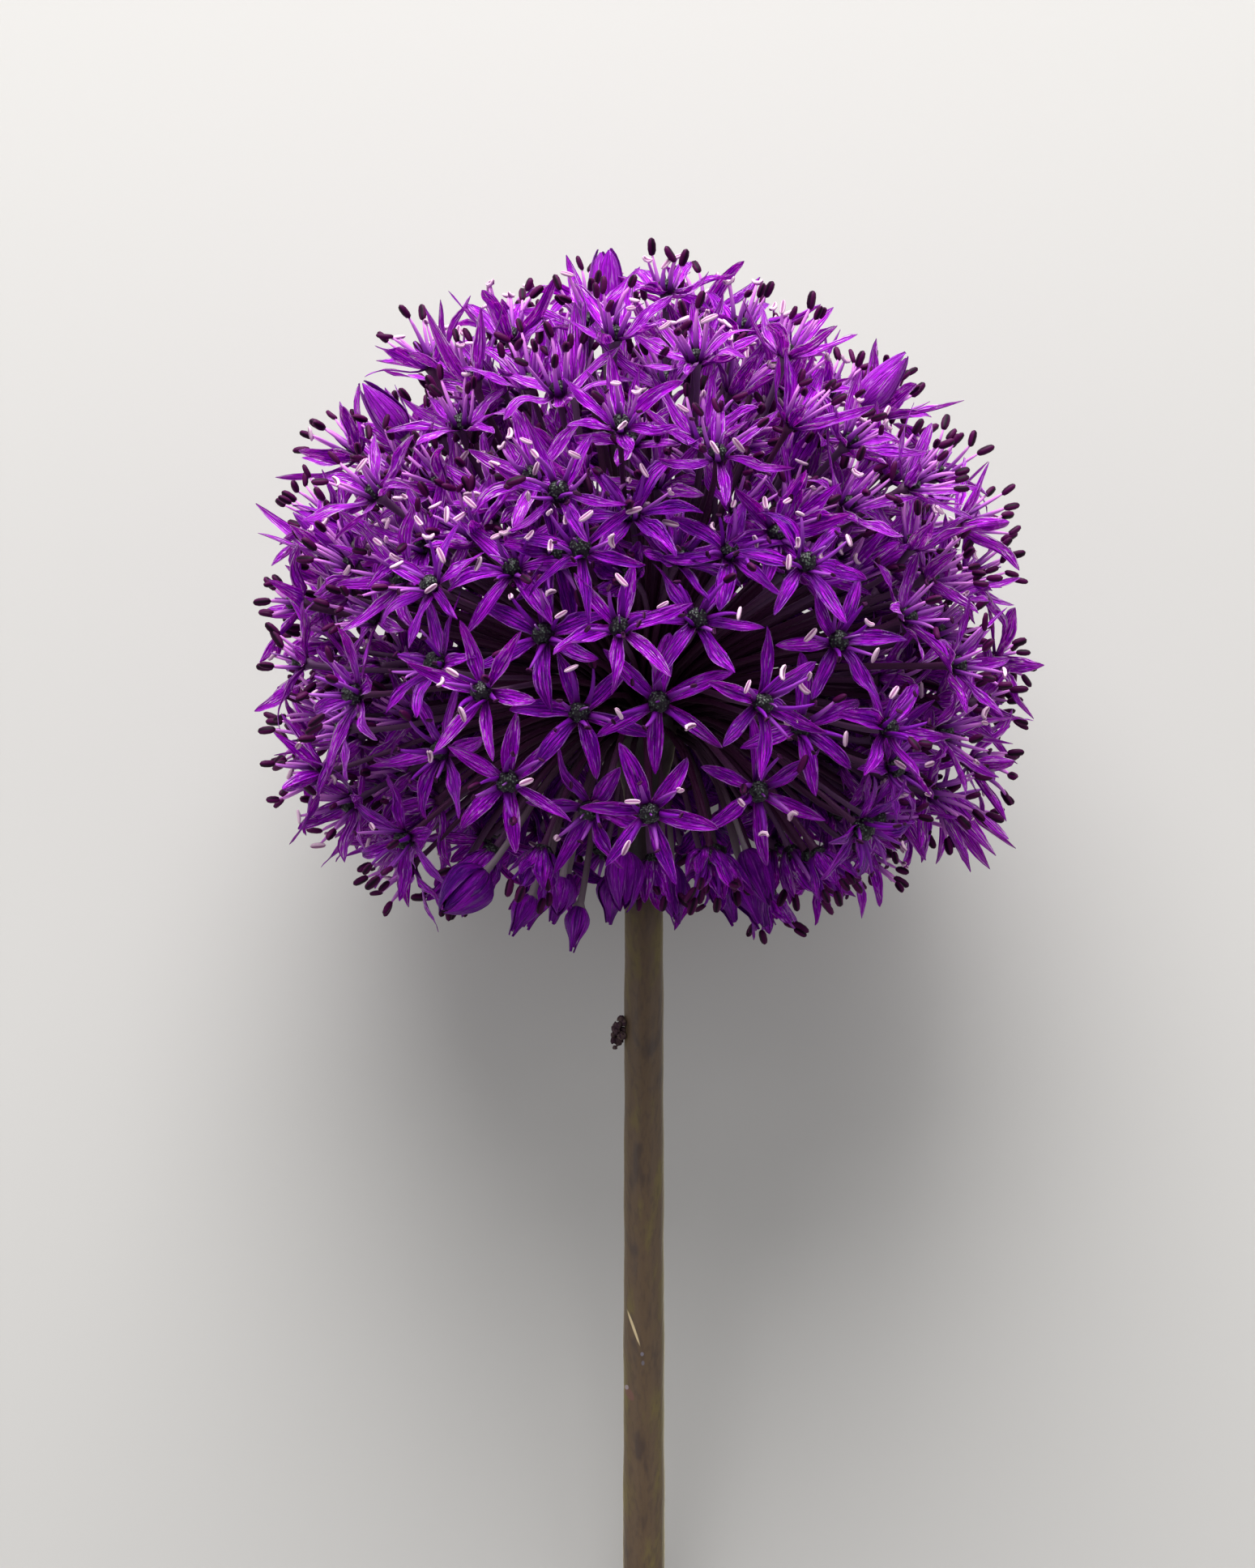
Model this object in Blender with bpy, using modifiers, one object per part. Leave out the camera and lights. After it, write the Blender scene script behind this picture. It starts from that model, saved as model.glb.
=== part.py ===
"""Allium flower head on a cut length of its scape, lying on a flat surface.

The head is an umbel of short cymes: star flowers and a few buds on thin pedicels that
leave one receptacle at the top of the scape.  The flower is modelled upright, with the
umbel's centre at the origin and the crown at +Z, and one empty then lays it down: the
cut end and the lowest florets rest on the plane z = 0, with the scape along -Y.
"""

import math

import bmesh
import bpy
import numpy as np
from mathutils import Euler, Vector

MM = 0.001

# scape
SCAPE_LENGTH = 120 * MM
SCAPE_CUT_RADIUS = 2.65 * MM
SCAPE_NECK_RADIUS = 2.4 * MM
RECEPTACLE_RADIUS = 5.0 * MM
RECEPTACLE_TURN = math.radians(130)
RECEPTACLE_RINGS = 6
NECK_FLARE = 1.15
SCAPE_SIDES = 16

# lying pose
CENTRE_HEIGHT = 40.2 * MM
CENTRE_Y = 30.4 * MM
SETTLING = 1.2 * MM

# umbel
SIDE_RADIUS = 39.5 * MM
CROWN_RISE = 10.5 * MM
CROWN_POWER = 1.3
SKIRT_DROP = 17.5 * MM
SKIRT_POWER = 1.4
UMBEL_LEAN = 0.02
POLAR_LIMIT = math.radians(156)
OPEN_POLAR_LIMIT = math.radians(136)
SPIRAL_COUNT = 196
FLORET_SPACING = 8.4 * MM
BUD_SPACING = 6.5 * MM
GOLDEN_ANGLE = math.pi * (3 - math.sqrt(5))
AREA_STEPS = 721
SURFACE_ROUNDS = 12

# cymes
CYME_COUNT = 48
PAD_RADIUS = 0.85 * MM
PAD_SIDES = 5
PAD_SEAT_GAP = 0.3 * MM
PAD_CENTRE_RADIUS = RECEPTACLE_RADIUS + PAD_SEAT_GAP + PAD_RADIUS
PAD_POLAR_LIMIT = math.radians(114)
FOOT_SPREAD = 0.42 * MM
LEAST_ASIDE = 0.02
CROWDED_SHARE = 0.2
PEDICEL_RADIUS = 0.45 * MM
PEDICEL_FOOT_RADIUS = 0.28 * MM
PEDICEL_SIDES = 3

# floret
TEPALS = 6
TEPAL_REACH = 9.2 * MM
SHOULDER_REACH = 4.6 * MM
SHOULDER_HALF_WIDTH = 1.1 * MM
NOTCH_REACH = 1.35 * MM
STAR_RISE = 0.45 * MM
STAR_DEPTH = 0.55 * MM
TAPER_RATE = 2.3
TAPER_END = 1.04

# chance in the growth of a floret
SEED = 7
TRIES = 96
SWEEPS = 8
SWEEP_FREEDOM = 0.12
WANTED_GAP = 0.35 * MM
NEIGHBOUR_REACH = 30 * MM
DEPTH_RANGE = (-3.0 * MM, 2.4 * MM)
DRIFT = 1.3 * MM
TILT_LIMIT = math.radians(20)
CUP_RANGE = (-0.4 * MM, 2.4 * MM)

# the florets that show best from the front (-Y): across and up from the centre in mm,
# and the angle of one tepal as seen from there, in degrees from +X
FRONT_FLORETS = (
    (-13.5, 31.0, 40), (-10.0, 25.1, 52), (-1.2, 25.3, 2), (-16.3, 18.3, 2),
    (-13.0, 10.8, 18), (-2.7, 9.8, 18), (-7.0, 18.1, 45), (-23.5, 15.6, 10),
    (-25.2, 6.8, 30), (-18.3, 4.3, 45), (7.3, 34.5, 20), (17.2, 34.8, 25),
    (8.0, 29.0, 40), (10.0, 21.1, 22), (18.0, 18.1, 0), (6.2, 11.8, 57),
    (23.8, 9.5, 10), (25.2, 27.1, 20), (-8.8, 1.3, 44), (2.0, 2.1, 28),
    (-25.5, -4.0, 55), (-15.2, -6.9, 35), (-7.2, -11.4, 50), (0.8, -11.0, 52),
    (-29.0, -14.7, 30), (12.7, 2.5, 28), (19.5, -1.2, 30), (13.5, -9.2, 25),
    (24.5, -12.2, 35), (28.0, -1.2, 45), (-1.5, 32.5, 40), (-30.5, 26.1, 20),
)
FRONT_SPIN_PLAY = math.radians(5)

# buds and half-open flowers: centre, pointing direction, length and width in mm
BUDS = (
    ((-21.5, -12, -19.5), (-0.75, -0.3, -0.6), 10.5, 6.4),
    ((-14.0, -8, -22.5), (-0.45, -0.3, -0.85), 6.6, 3.8),
    ((-10.0, -11, -20.0), (-0.3, -0.35, -0.9), 5.6, 3.6),
    ((-8.0, -6, -23.8), (-0.2, -0.2, -0.95), 6.6, 3.6),
    ((1.5, -9, -21.5), (0.05, -0.35, -0.95), 8.0, 4.4),
    ((8.5, -10, -18.5), (0.35, -0.4, -0.85), 8.0, 4.4),
    ((14.0, -7, -21.0), (0.45, -0.25, -0.85), 8.0, 4.4),
    ((29.5, -8, 42.0), (0.75, -0.15, 0.65), 9.5, 5.0),
    ((-4.0, -5, 52.5), (-0.1, -0.05, 1.0), 9.0, 5.0),
    ((-32.0, -6, 38.5), (-0.6, -0.1, 0.75), 8.5, 4.6),
    ((-39.5, -8, 24.0), (-0.85, -0.15, 0.5), 8.5, 4.6),
)
BUD_SIDES = 6
BUD_FULLNESS = 0.25  # how much the width at the base exceeds the middle's
BUD_CORE_SHARE = 0.45  # half the length of the core that keeps its neighbours off
REAR_BUDS = 8
REAR_BUD_POLAR = math.radians(147)
REAR_BUD_RADIUS = 26 * MM
REAR_BUD_SIZE = (7.2, 4.2)
REAR_BUD_DROOP = 0.5
REAR_BUD_AZIMUTHS = (math.radians(-22), math.radians(202))

POSE_TILT = math.asin(CENTRE_HEIGHT / math.hypot(SCAPE_LENGTH, SCAPE_CUT_RADIUS)) - math.atan2(
    SCAPE_CUT_RADIUS * math.cos(math.pi / SCAPE_SIDES), SCAPE_LENGTH
)
DOWN = np.array((0, math.cos(POSE_TILT), -math.sin(POSE_TILT)))
ASKEW = np.array((0.31, 0.17, 0.94))  # lines up with none of the limbs


def unit(vectors):
    """Scale vectors along the last axis to length one."""
    return vectors / np.linalg.norm(vectors, axis=-1, keepdims=True)


def direction(polar, azimuth):
    """Unit vector at an angle from the crown and an angle around the scape."""
    return np.stack(
        (np.sin(polar) * np.cos(azimuth), np.sin(polar) * np.sin(azimuth), np.cos(polar)), axis=-1
    )


def umbel_radius(polar):
    """Distance from the umbel's centre to its surface of florets."""
    crown = CROWN_RISE * np.clip(np.cos(polar), 0, 1) ** CROWN_POWER
    below = np.clip((polar - math.pi / 2) / (POLAR_LIMIT - math.pi / 2), 0, None)
    return SIDE_RADIUS + crown - SKIRT_DROP * below**SKIRT_POWER


def spiral(count, polar_limit):
    """Angles on a golden-angle spiral down the umbel, about the same area to each."""
    polar = np.linspace(0, polar_limit, AREA_STEPS)
    area = np.cumsum(umbel_radius(polar) ** 2 * np.sin(polar))
    steps = np.arange(count)
    return np.interp((steps + 0.5) / count * area[-1], area, polar), steps * GOLDEN_ANGLE


def frame_about(normal, spin):
    """Two unit vectors square to each normal, the first turned by spin about it."""
    side = unit(np.cross(normal, ASKEW))
    up = np.cross(normal, side)
    c, s = np.cos(spin)[..., None], np.sin(spin)[..., None]
    return c * side + s * up, c * up - s * side


def closest(p, u, q, v):
    """Vector between the nearest points of segments p + s u and q + t v, with s and t."""
    w = p - q
    a, b, c = (u * u).sum(-1), (u * v).sum(-1), (v * v).sum(-1)
    d, e = (u * w).sum(-1), (v * w).sum(-1)
    s = np.clip((b * e - c * d) / np.maximum(a * c - b * b, 1e-18), 0, 1)
    t = np.clip((b * s + e) / c, 0, 1)
    s = np.clip((b * t - d) / a, 0, 1)
    return p + s[..., None] * u - q - t[..., None] * v, s, t


def reach(way, along, lateral, normal, half):
    """How far a blade's section reaches along a direction, its width tapering to the tip."""
    flat = half[..., 0] > half[..., 1]
    width = half[..., 0] * np.where(flat, np.minimum(1, TAPER_RATE * (TAPER_END - along)), 1)
    return np.hypot(width * (way * lateral).sum(-1), half[..., 1] * (way * normal).sum(-1))


class Limbs:
    """The straight limbs of grown flowers: each a segment with a flat or round section."""

    def __init__(self, start, span, lateral, normal, half):
        self.start, self.span, self.lateral, self.normal, self.half = start, span, lateral, normal, half

    def pick(self, chosen):
        """The limbs at the given indices."""
        return Limbs(*(values[chosen] for values in vars(self).values()))

    def joined(self, other):
        """These limbs and another set in one."""
        mine, theirs = vars(self).values(), vars(other).values()
        return Limbs(*(np.concatenate(pair) for pair in zip(mine, theirs)))

    def put(self, place, others):
        """Write other limbs over the ones at a place."""
        for name, values in vars(self).items():
            values[place] = getattr(others, name)

    def gap_to(self, others):
        """Least gap from each of these limbs to any limb of the others."""
        a = Limbs(*(values[..., None, :] for values in vars(self).values()))
        between, s, t = closest(a.start, a.span, others.start, others.span)
        length = np.linalg.norm(between, axis=-1)
        way = between / np.maximum(length, 1e-9)[..., None]
        near = reach(way, s, a.lateral, a.normal, a.half)
        far = reach(way, t, others.lateral, others.normal, others.half)
        return (length - near - far).min(-1)


def round_limb(start, end, radius):
    """One limb with a round section."""
    span = np.asarray(end) - np.asarray(start)
    side = unit(np.cross(span, ASKEW))
    fields = (start, span, side, np.cross(unit(span), side), (radius, radius))
    return Limbs(*(np.array([field]) for field in fields))


class Receptacle:
    """The seats of the cymes, an equal share of the umbel's surface to each."""

    def __init__(self):
        polar, azimuth = spiral(CYME_COUNT, POLAR_LIMIT)
        self.domain = umbel_radius(polar)[:, None] * direction(polar, azimuth)
        self.pads = self.seat(polar, azimuth)

    def seat(self, polar, azimuth):
        """The direction from the receptacle's centre for an angle on the umbel."""
        return direction(polar * PAD_POLAR_LIMIT / POLAR_LIMIT, azimuth)

    def foot(self, head):
        """The cyme that carries each flower, and the point where its pedicel starts."""
        cyme = np.linalg.norm(head[..., None, :] - self.domain, axis=-1).argmin(-1)
        toward = unit(head)
        own = self.seat(np.arccos(toward[..., 2]), np.arctan2(toward[..., 1], toward[..., 0]))
        aside = own - self.pads[cyme]
        aside = aside / np.maximum(np.linalg.norm(aside, axis=-1, keepdims=True), LEAST_ASIDE)
        return cyme, self.pads[cyme] * PAD_CENTRE_RADIUS + aside * FOOT_SPREAD


def all_buds():
    """The buds set by hand and those round the back: centre, pointing, length and width."""
    found = []
    for centre, pointing, length, width in BUDS:
        found.append((np.array(centre) * MM, unit(np.array(pointing)), length * MM, width * MM))
    length, width = REAR_BUD_SIZE
    for azimuth in np.linspace(*REAR_BUD_AZIMUTHS, REAR_BUDS):
        outward = direction(REAR_BUD_POLAR, azimuth)
        pointing = unit(outward + REAR_BUD_DROOP * np.array((0, 0, -1)))
        found.append((REAR_BUD_RADIUS * outward, pointing, length * MM, width * MM))
    return found


class Floret:
    """One open flower: its centre, outward normal, first tepal's direction, cup and foot."""

    def __init__(self, centre, normal, first, second, cup, foot, cyme):
        self.centre, self.normal, self.first, self.second = centre, normal, first, second
        self.cup, self.foot, self.cyme = cup, foot, cyme


def front_site(across, up):
    """The angles of the point of the umbel's surface that shows at a place from the front."""
    radius = SIDE_RADIUS
    for _ in range(SURFACE_ROUNDS):
        radius = umbel_radius(math.acos(up / radius)) * (1 - UMBEL_LEAN * across / radius)
    depth = math.sqrt(radius**2 - across**2 - up**2)
    return math.acos(up / radius), math.atan2(-depth, across)


def sites():
    """Where the florets stand: polar angle, azimuth, and the set angle of a tepal or None."""
    found = []
    for across, up, turn in FRONT_FLORETS:
        found.append((*front_site(across * MM, up * MM), math.radians(turn)))
    spots = [umbel_radius(polar) * direction(polar, azimuth) for polar, azimuth, _ in found]
    buds = [bud[0] for bud in all_buds()]
    for polar, azimuth in zip(*spiral(SPIRAL_COUNT, OPEN_POLAR_LIMIT)):
        spot = umbel_radius(polar) * direction(polar, azimuth)
        far_from_florets = min(np.linalg.norm(spot - other) for other in spots) > FLORET_SPACING
        far_from_buds = min(np.linalg.norm(spot - bud) for bud in buds) > BUD_SPACING
        if far_from_florets and far_from_buds:
            found.append((polar, azimuth, None))
    return found


def grow_tries(site, freedom, rng):
    """Several ways that one floret could stand, as arrays of one row each."""
    polar, azimuth, turn = site
    outward = direction(polar, azimuth)
    one, two = frame_about(outward, np.zeros(()))
    drift = rng.uniform(-DRIFT, DRIFT, (TRIES, 2)) * freedom
    depth = rng.uniform(*DEPTH_RANGE, TRIES) * freedom
    lean = rng.uniform(0, TILT_LIMIT, TRIES)
    lean_way = rng.uniform(0, 2 * math.pi, TRIES)
    spin = rng.uniform(0, math.pi / 3, TRIES)
    cup = rng.uniform(*CUP_RANGE, TRIES)
    if turn is not None:
        drift = drift * 0.5
        spin = turn + FRONT_SPIN_PLAY * (spin * 6 / math.pi - 1)
    radius = umbel_radius(polar) * (1 - UMBEL_LEAN * outward[0]) + depth
    centre = radius[:, None] * outward + drift[:, :1] * one + drift[:, 1:] * two
    sideways = np.cos(lean_way)[:, None] * one + np.sin(lean_way)[:, None] * two
    normal = unit(np.cos(lean)[:, None] * outward + np.sin(lean)[:, None] * sideways)
    if turn is None:
        first, second = frame_about(normal, spin)
    else:
        seen = np.stack((np.cos(spin), np.zeros(TRIES), np.sin(spin)), axis=-1)
        first = unit(seen - (seen * normal).sum(-1, keepdims=True) * normal)
        second = np.cross(normal, first)
    return centre, normal, first, second, cup


def tepal_tips(centre, normal, first, second, cup):
    """The tips of the six tepals, one row of tips a try."""
    turn = np.arange(TEPALS) * 2 * math.pi / TEPALS
    flat = np.cos(turn)[:, None] * first[:, None] + np.sin(turn)[:, None] * second[:, None]
    return centre[:, None] + TEPAL_REACH * flat + (cup[:, None] * normal)[:, None], flat


def limbs_of(centre, normal, first, second, cup, foot):
    """The tepals and pedicel of each try as limbs, one row a try."""
    tips, flat = tepal_tips(centre, normal, first, second, cup)
    starts = np.broadcast_to(centre[:, None], tips.shape)
    normals = np.broadcast_to(normal[:, None], tips.shape)
    blade = np.broadcast_to((SHOULDER_HALF_WIDTH, STAR_RISE), tips.shape[:2] + (2,))
    foot = foot + CROWDED_SHARE * (centre - foot)
    stalk = (centre - foot)[:, None]
    side = unit(np.cross(stalk, normals[:, :1] + 0.3 * flat[:, :1]))
    return Limbs(
        np.concatenate((starts, np.broadcast_to(foot[:, None], stalk.shape)), 1),
        np.concatenate((tips - starts, stalk), 1),
        np.concatenate((np.cross(normals, flat), side), 1),
        np.concatenate((normals, np.cross(unit(stalk), side)), 1),
        np.concatenate((blade, np.full(stalk.shape[:2] + (2,), PEDICEL_RADIUS)), 1),
    )


def grow_umbel(receptacle, standing):
    """Place each floret in the first of its tries that is clear of the others.

    The florets that find no clear try are placed again in later sweeps, among all the rest.
    """
    rng = np.random.default_rng(SEED)
    places = sites()
    florets = [None] * len(places)
    limbs_each = TEPALS + 1
    grown = Limbs(*(np.zeros((len(places) * limbs_each, size)) for size in (3, 3, 3, 3, 2)))
    hearts = np.full((len(places), 3), np.inf)
    tightness = np.full(len(places), -np.inf)
    for sweep in range(SWEEPS):
        freedom = 1 + sweep * SWEEP_FREEDOM
        for index in np.flatnonzero(tightness < WANTED_GAP):
            centre, normal, first, second, cup = grow_tries(places[index], freedom, rng)
            tips = tepal_tips(centre, normal, first, second, cup)[0]
            height = CENTRE_HEIGHT - (tips @ DOWN).max(-1)
            centre = centre + np.where(height < SETTLING, height, 0)[:, None] * DOWN
            cyme, foot = receptacle.foot(centre)
            limbs = limbs_of(centre, normal, first, second, cup, foot)
            hearts[index] = np.inf
            near = np.flatnonzero(np.linalg.norm(hearts - centre.mean(0), axis=-1) < NEIGHBOUR_REACH)
            members = (near[:, None] * limbs_each + np.arange(limbs_each)).ravel()
            gap = np.round(limbs.gap_to(standing.joined(grown.pick(members))).min(-1), 7)
            clear = np.flatnonzero(gap >= WANTED_GAP)
            best = clear[0] if clear.size else gap.argmax()
            hearts[index] = centre[best]
            tightness[index] = gap[best]
            grown.put(slice(index * limbs_each, (index + 1) * limbs_each), limbs.pick(best))
            florets[index] = Floret(
                centre[best], normal[best], first[best], second[best], cup[best], foot[best], cyme[best]
            )
    return florets


def new_object(name, mesh, collection):
    """Link a mesh as a named object."""
    obj = bpy.data.objects.new(name, mesh)
    collection.objects.link(obj)
    return obj


def loft(faces, lower, upper):
    """Triangles between two rings of vertex numbers that may differ in count."""
    i = j = 0
    while i < len(lower) or j < len(upper):
        step_lower = j == len(upper) or (i < len(lower) and (i + 1) * len(upper) <= (j + 1) * len(lower))
        a, b = lower[i % len(lower)], upper[j % len(upper)]
        if step_lower:
            i += 1
            faces.append((a, lower[i % len(lower)], b))
        else:
            j += 1
            faces.append((a, upper[j % len(upper)], b))


def star_outline(floret):
    """The rim of a six-pointed flower: shoulder, tip, shoulder and notch of each tepal."""
    shoulder = math.atan2(SHOULDER_HALF_WIDTH, SHOULDER_REACH)
    shoulder_reach = math.hypot(SHOULDER_HALF_WIDTH, SHOULDER_REACH)
    pattern = (
        (-shoulder, shoulder_reach),
        (0, TEPAL_REACH),
        (shoulder, shoulder_reach),
        (math.pi / TEPALS, NOTCH_REACH),
    )
    rim = []
    for tepal in range(TEPALS):
        for turn, radius in pattern:
            angle = turn + tepal * 2 * math.pi / TEPALS
            flat = math.cos(angle) * floret.first + math.sin(angle) * floret.second
            rim.append(floret.centre + radius * flat + floret.cup * radius / TEPAL_REACH * floret.normal)
    return rim


def floret_mesh(floret):
    """A flower on its pedicel: the star's rim lofted to a thin stalk, and a low crown on top."""
    rim = star_outline(floret)
    first, second = floret.first, floret.second
    turns = [2 * math.pi * k / PEDICEL_SIDES for k in range(PEDICEL_SIDES)]
    ring = [math.cos(t) * first + math.sin(t) * second for t in turns]
    neck = [floret.centre - STAR_DEPTH * floret.normal + PEDICEL_RADIUS * point for point in ring]
    foot = [floret.foot + PEDICEL_FOOT_RADIUS * point for point in ring]
    crown = floret.centre + STAR_RISE * floret.normal
    points = [*foot, *neck, *rim, crown]
    feet = list(range(PEDICEL_SIDES))
    necks = [n + PEDICEL_SIDES for n in feet]
    edge = list(range(2 * PEDICEL_SIDES, 2 * PEDICEL_SIDES + len(rim)))
    faces = [tuple(reversed(feet))]
    loft(faces, feet, necks)
    loft(faces, necks, edge)
    loft(faces, edge, [len(points) - 1])
    mesh = bpy.data.meshes.new("floret")
    mesh.from_pydata([tuple(p) for p in points], [], faces)
    return mesh


def aligned(bm, centre, pointing):
    """Turn a bmesh from +Z to a direction, and move it to its place."""
    turn = Vector(pointing).to_track_quat("Z", "Y").to_matrix()
    bmesh.ops.rotate(bm, verts=bm.verts, cent=(0, 0, 0), matrix=turn)
    bmesh.ops.translate(bm, verts=bm.verts, vec=Vector(centre))


def finish_mesh(bm, name):
    """Turn a bmesh into a mesh."""
    mesh = bpy.data.meshes.new(name)
    bm.to_mesh(mesh)
    bm.free()
    return mesh


def bud_mesh(centre, pointing, length, width):
    """A bud: a ball drawn out to a spindle, fuller towards its base."""
    bm = bmesh.new()
    bmesh.ops.create_uvsphere(bm, u_segments=BUD_SIDES, v_segments=4, radius=0.5)
    for vertex in bm.verts:
        fullness = 1 - BUD_FULLNESS * vertex.co.z
        vertex.co.x *= width * fullness
        vertex.co.y *= width * fullness
        vertex.co.z *= length
    aligned(bm, centre, pointing)
    return finish_mesh(bm, "bud")


def stalk_mesh(foot, head, radius):
    """A straight pedicel between two points."""
    bm = bmesh.new()
    span = Vector(head) - Vector(foot)
    bmesh.ops.create_cone(
        bm, cap_ends=True, segments=PEDICEL_SIDES + 1, radius1=radius, radius2=radius, depth=span.length
    )
    aligned(bm, (Vector(head) + Vector(foot)) / 2, span)
    return finish_mesh(bm, "stalk")


def pad_mesh(pointing):
    """The small joint at the foot of a cyme."""
    bm = bmesh.new()
    bmesh.ops.create_uvsphere(bm, u_segments=PAD_SIDES, v_segments=2, radius=PAD_RADIUS)
    aligned(bm, Vector(pointing) * PAD_CENTRE_RADIUS, pointing)
    return finish_mesh(bm, "pad")


def united(name, meshes, collection, guides):
    """Join meshes into one object with Boolean unions, and bake the result."""
    target = new_object(name, meshes[0], collection)
    helpers = []
    for mesh in meshes[1:]:
        helper = new_object(name + "_piece", mesh, guides)
        helpers.append(helper)
        union = target.modifiers.new("join", "BOOLEAN")
        union.operation = "UNION"
        union.object = helper
    bpy.context.view_layer.update()
    graph = bpy.context.evaluated_depsgraph_get()
    baked = bpy.data.meshes.new_from_object(target.evaluated_get(graph))
    target.modifiers.clear()
    target.data = baked
    for helper in helpers:
        bpy.data.objects.remove(helper, do_unlink=True)
    return target


def material(name, colour, roughness):
    """A plain surface."""
    made = bpy.data.materials.new(name)
    made.use_nodes = True
    shader = made.node_tree.nodes["Principled BSDF"]
    shader.inputs["Base Color"].default_value = (*colour, 1)
    shader.inputs["Roughness"].default_value = roughness
    shader.inputs["Metallic"].default_value = 0
    return made


def scape(collection):
    """The cut stem with the receptacle at its top, turned about its axis."""
    profile = []
    for angle in np.linspace(0, RECEPTACLE_TURN, RECEPTACLE_RINGS):
        profile.append((RECEPTACLE_RADIUS * math.sin(angle), RECEPTACLE_RADIUS * math.cos(angle)))
    profile += [
        (NECK_FLARE * SCAPE_NECK_RADIUS, -1.3 * RECEPTACLE_RADIUS),
        (SCAPE_NECK_RADIUS, -2.2 * RECEPTACLE_RADIUS),
        (SCAPE_CUT_RADIUS, -SCAPE_LENGTH),
        (0, -SCAPE_LENGTH),
    ]
    mesh = bpy.data.meshes.new("scape")
    points = [(radius, 0, height) for radius, height in profile]
    mesh.from_pydata(points, [(k, k + 1) for k in range(len(points) - 1)], [])
    obj = new_object("scape", mesh, collection)
    screw = obj.modifiers.new("turn", "SCREW")
    screw.steps = SCAPE_SIDES
    screw.render_steps = SCAPE_SIDES
    screw.use_merge_vertices = True
    screw.merge_threshold = 0.01 * MM
    obj.rotation_euler = Euler((0, 0, math.pi / SCAPE_SIDES))
    obj.data.materials.append(material("scape_skin", (0.086, 0.053, 0.031), 0.5))
    return obj


def cymes(collection, guides):
    """All the cymes: each a pad with its florets and buds on their pedicels."""
    receptacle = Receptacle()
    standing = round_limb((0, 0, -RECEPTACLE_RADIUS), (0, 0, -SCAPE_LENGTH), SCAPE_CUT_RADIUS)
    members = [[pad_mesh(pad)] for pad in receptacle.pads]
    for centre, pointing, length, width in all_buds():
        cyme, foot = receptacle.foot(centre)
        core = pointing * length * BUD_CORE_SHARE
        base = centre - core
        members[cyme].append(bud_mesh(centre, pointing, length, width))
        members[cyme].append(stalk_mesh(foot, base, PEDICEL_RADIUS))
        standing = standing.joined(round_limb(base, centre + core, width / 2))
        standing = standing.joined(round_limb(foot, base, PEDICEL_RADIUS))
    for floret in grow_umbel(receptacle, standing):
        members[floret.cyme].append(floret_mesh(floret))
    petal = material("tepal", (0.16, 0.012, 0.22), 0.5)
    made = []
    for meshes in members:
        if len(meshes) > 1:
            cyme = united(f"cyme_{len(made) + 1:02d}", meshes, collection, guides)
            cyme.data.materials.clear()
            cyme.data.materials.append(petal.copy())
            made.append(cyme)
    return made


def main():
    """Model the flower upright, and lay it down."""
    for obj in list(bpy.data.objects):
        bpy.data.objects.remove(obj, do_unlink=True)
    scene = bpy.context.scene
    parts = bpy.data.collections.new("allium_flower_head")
    guides = bpy.data.collections.new("guides")
    scene.collection.children.link(parts)
    scene.collection.children.link(guides)
    pose = bpy.data.objects.new("lying_pose", None)
    guides.objects.link(pose)
    pose.location = (0, CENTRE_Y, CENTRE_HEIGHT)
    pose.rotation_euler = Euler((POSE_TILT - math.pi / 2, 0, 0))
    for obj in (scape(parts), *cymes(parts, guides)):
        obj.parent = pose
    bpy.context.view_layer.update()


main()
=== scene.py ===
"""Looks of a purple allium flower head, cut with a length of its scape and laid on a flat surface.

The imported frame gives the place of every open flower, and each one is dressed here with six
veined tepals, six stamens, a warty ovary with its style, and a pedicel that bends out of the
receptacle.  Buds, half-open flowers and the waxy scape complete the head.  Shapes are worked
out upright, with the umbel's centre at the origin, the crown at +Z and the best side at -Y,
and LyingPose then lays them down into the row frame.
"""

import logging
import math
from collections.abc import Callable, Sequence
from dataclasses import dataclass
from enum import Enum
from functools import partial
from operator import attrgetter

import bpy
import numpy as np
from mathutils import Matrix, Vector


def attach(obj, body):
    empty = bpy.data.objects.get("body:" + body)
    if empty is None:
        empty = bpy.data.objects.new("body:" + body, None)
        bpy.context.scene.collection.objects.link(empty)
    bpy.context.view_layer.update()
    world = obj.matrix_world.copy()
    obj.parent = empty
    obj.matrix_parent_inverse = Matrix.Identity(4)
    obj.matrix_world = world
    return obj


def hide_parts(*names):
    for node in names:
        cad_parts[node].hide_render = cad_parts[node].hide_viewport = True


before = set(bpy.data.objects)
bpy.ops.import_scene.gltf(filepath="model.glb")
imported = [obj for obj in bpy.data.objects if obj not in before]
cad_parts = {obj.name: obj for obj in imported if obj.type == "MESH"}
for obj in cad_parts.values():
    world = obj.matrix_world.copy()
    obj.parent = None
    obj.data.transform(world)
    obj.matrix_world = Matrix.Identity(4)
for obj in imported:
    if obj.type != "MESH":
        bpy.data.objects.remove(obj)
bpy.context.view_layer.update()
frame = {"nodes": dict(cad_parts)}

LOG = logging.getLogger("allium")
MM = 0.001
PARTS = 6  # tepals and stamens of one flower
POLE_GAP = 0.1  # angle that a ball's end rings keep from its poles

Array = np.ndarray
Fields = dict[str, Array]
Place = tuple[float, float, float]
Range = tuple[float, float]
Socket = bpy.types.NodeSocket
Piece = bpy.types.Object


# --- numbers and vectors ---------------------------------------------------------------


def unit(vectors: Array) -> Array:
    """Vectors along the last axis, each divided by its length."""
    return vectors / np.maximum(np.linalg.norm(vectors, axis=-1, keepdims=True), 1e-12)


def dot(a: Array, b: Array) -> Array:
    """Dot product along the last axis, which is kept."""
    return (a * b).sum(-1, keepdims=True)


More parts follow.
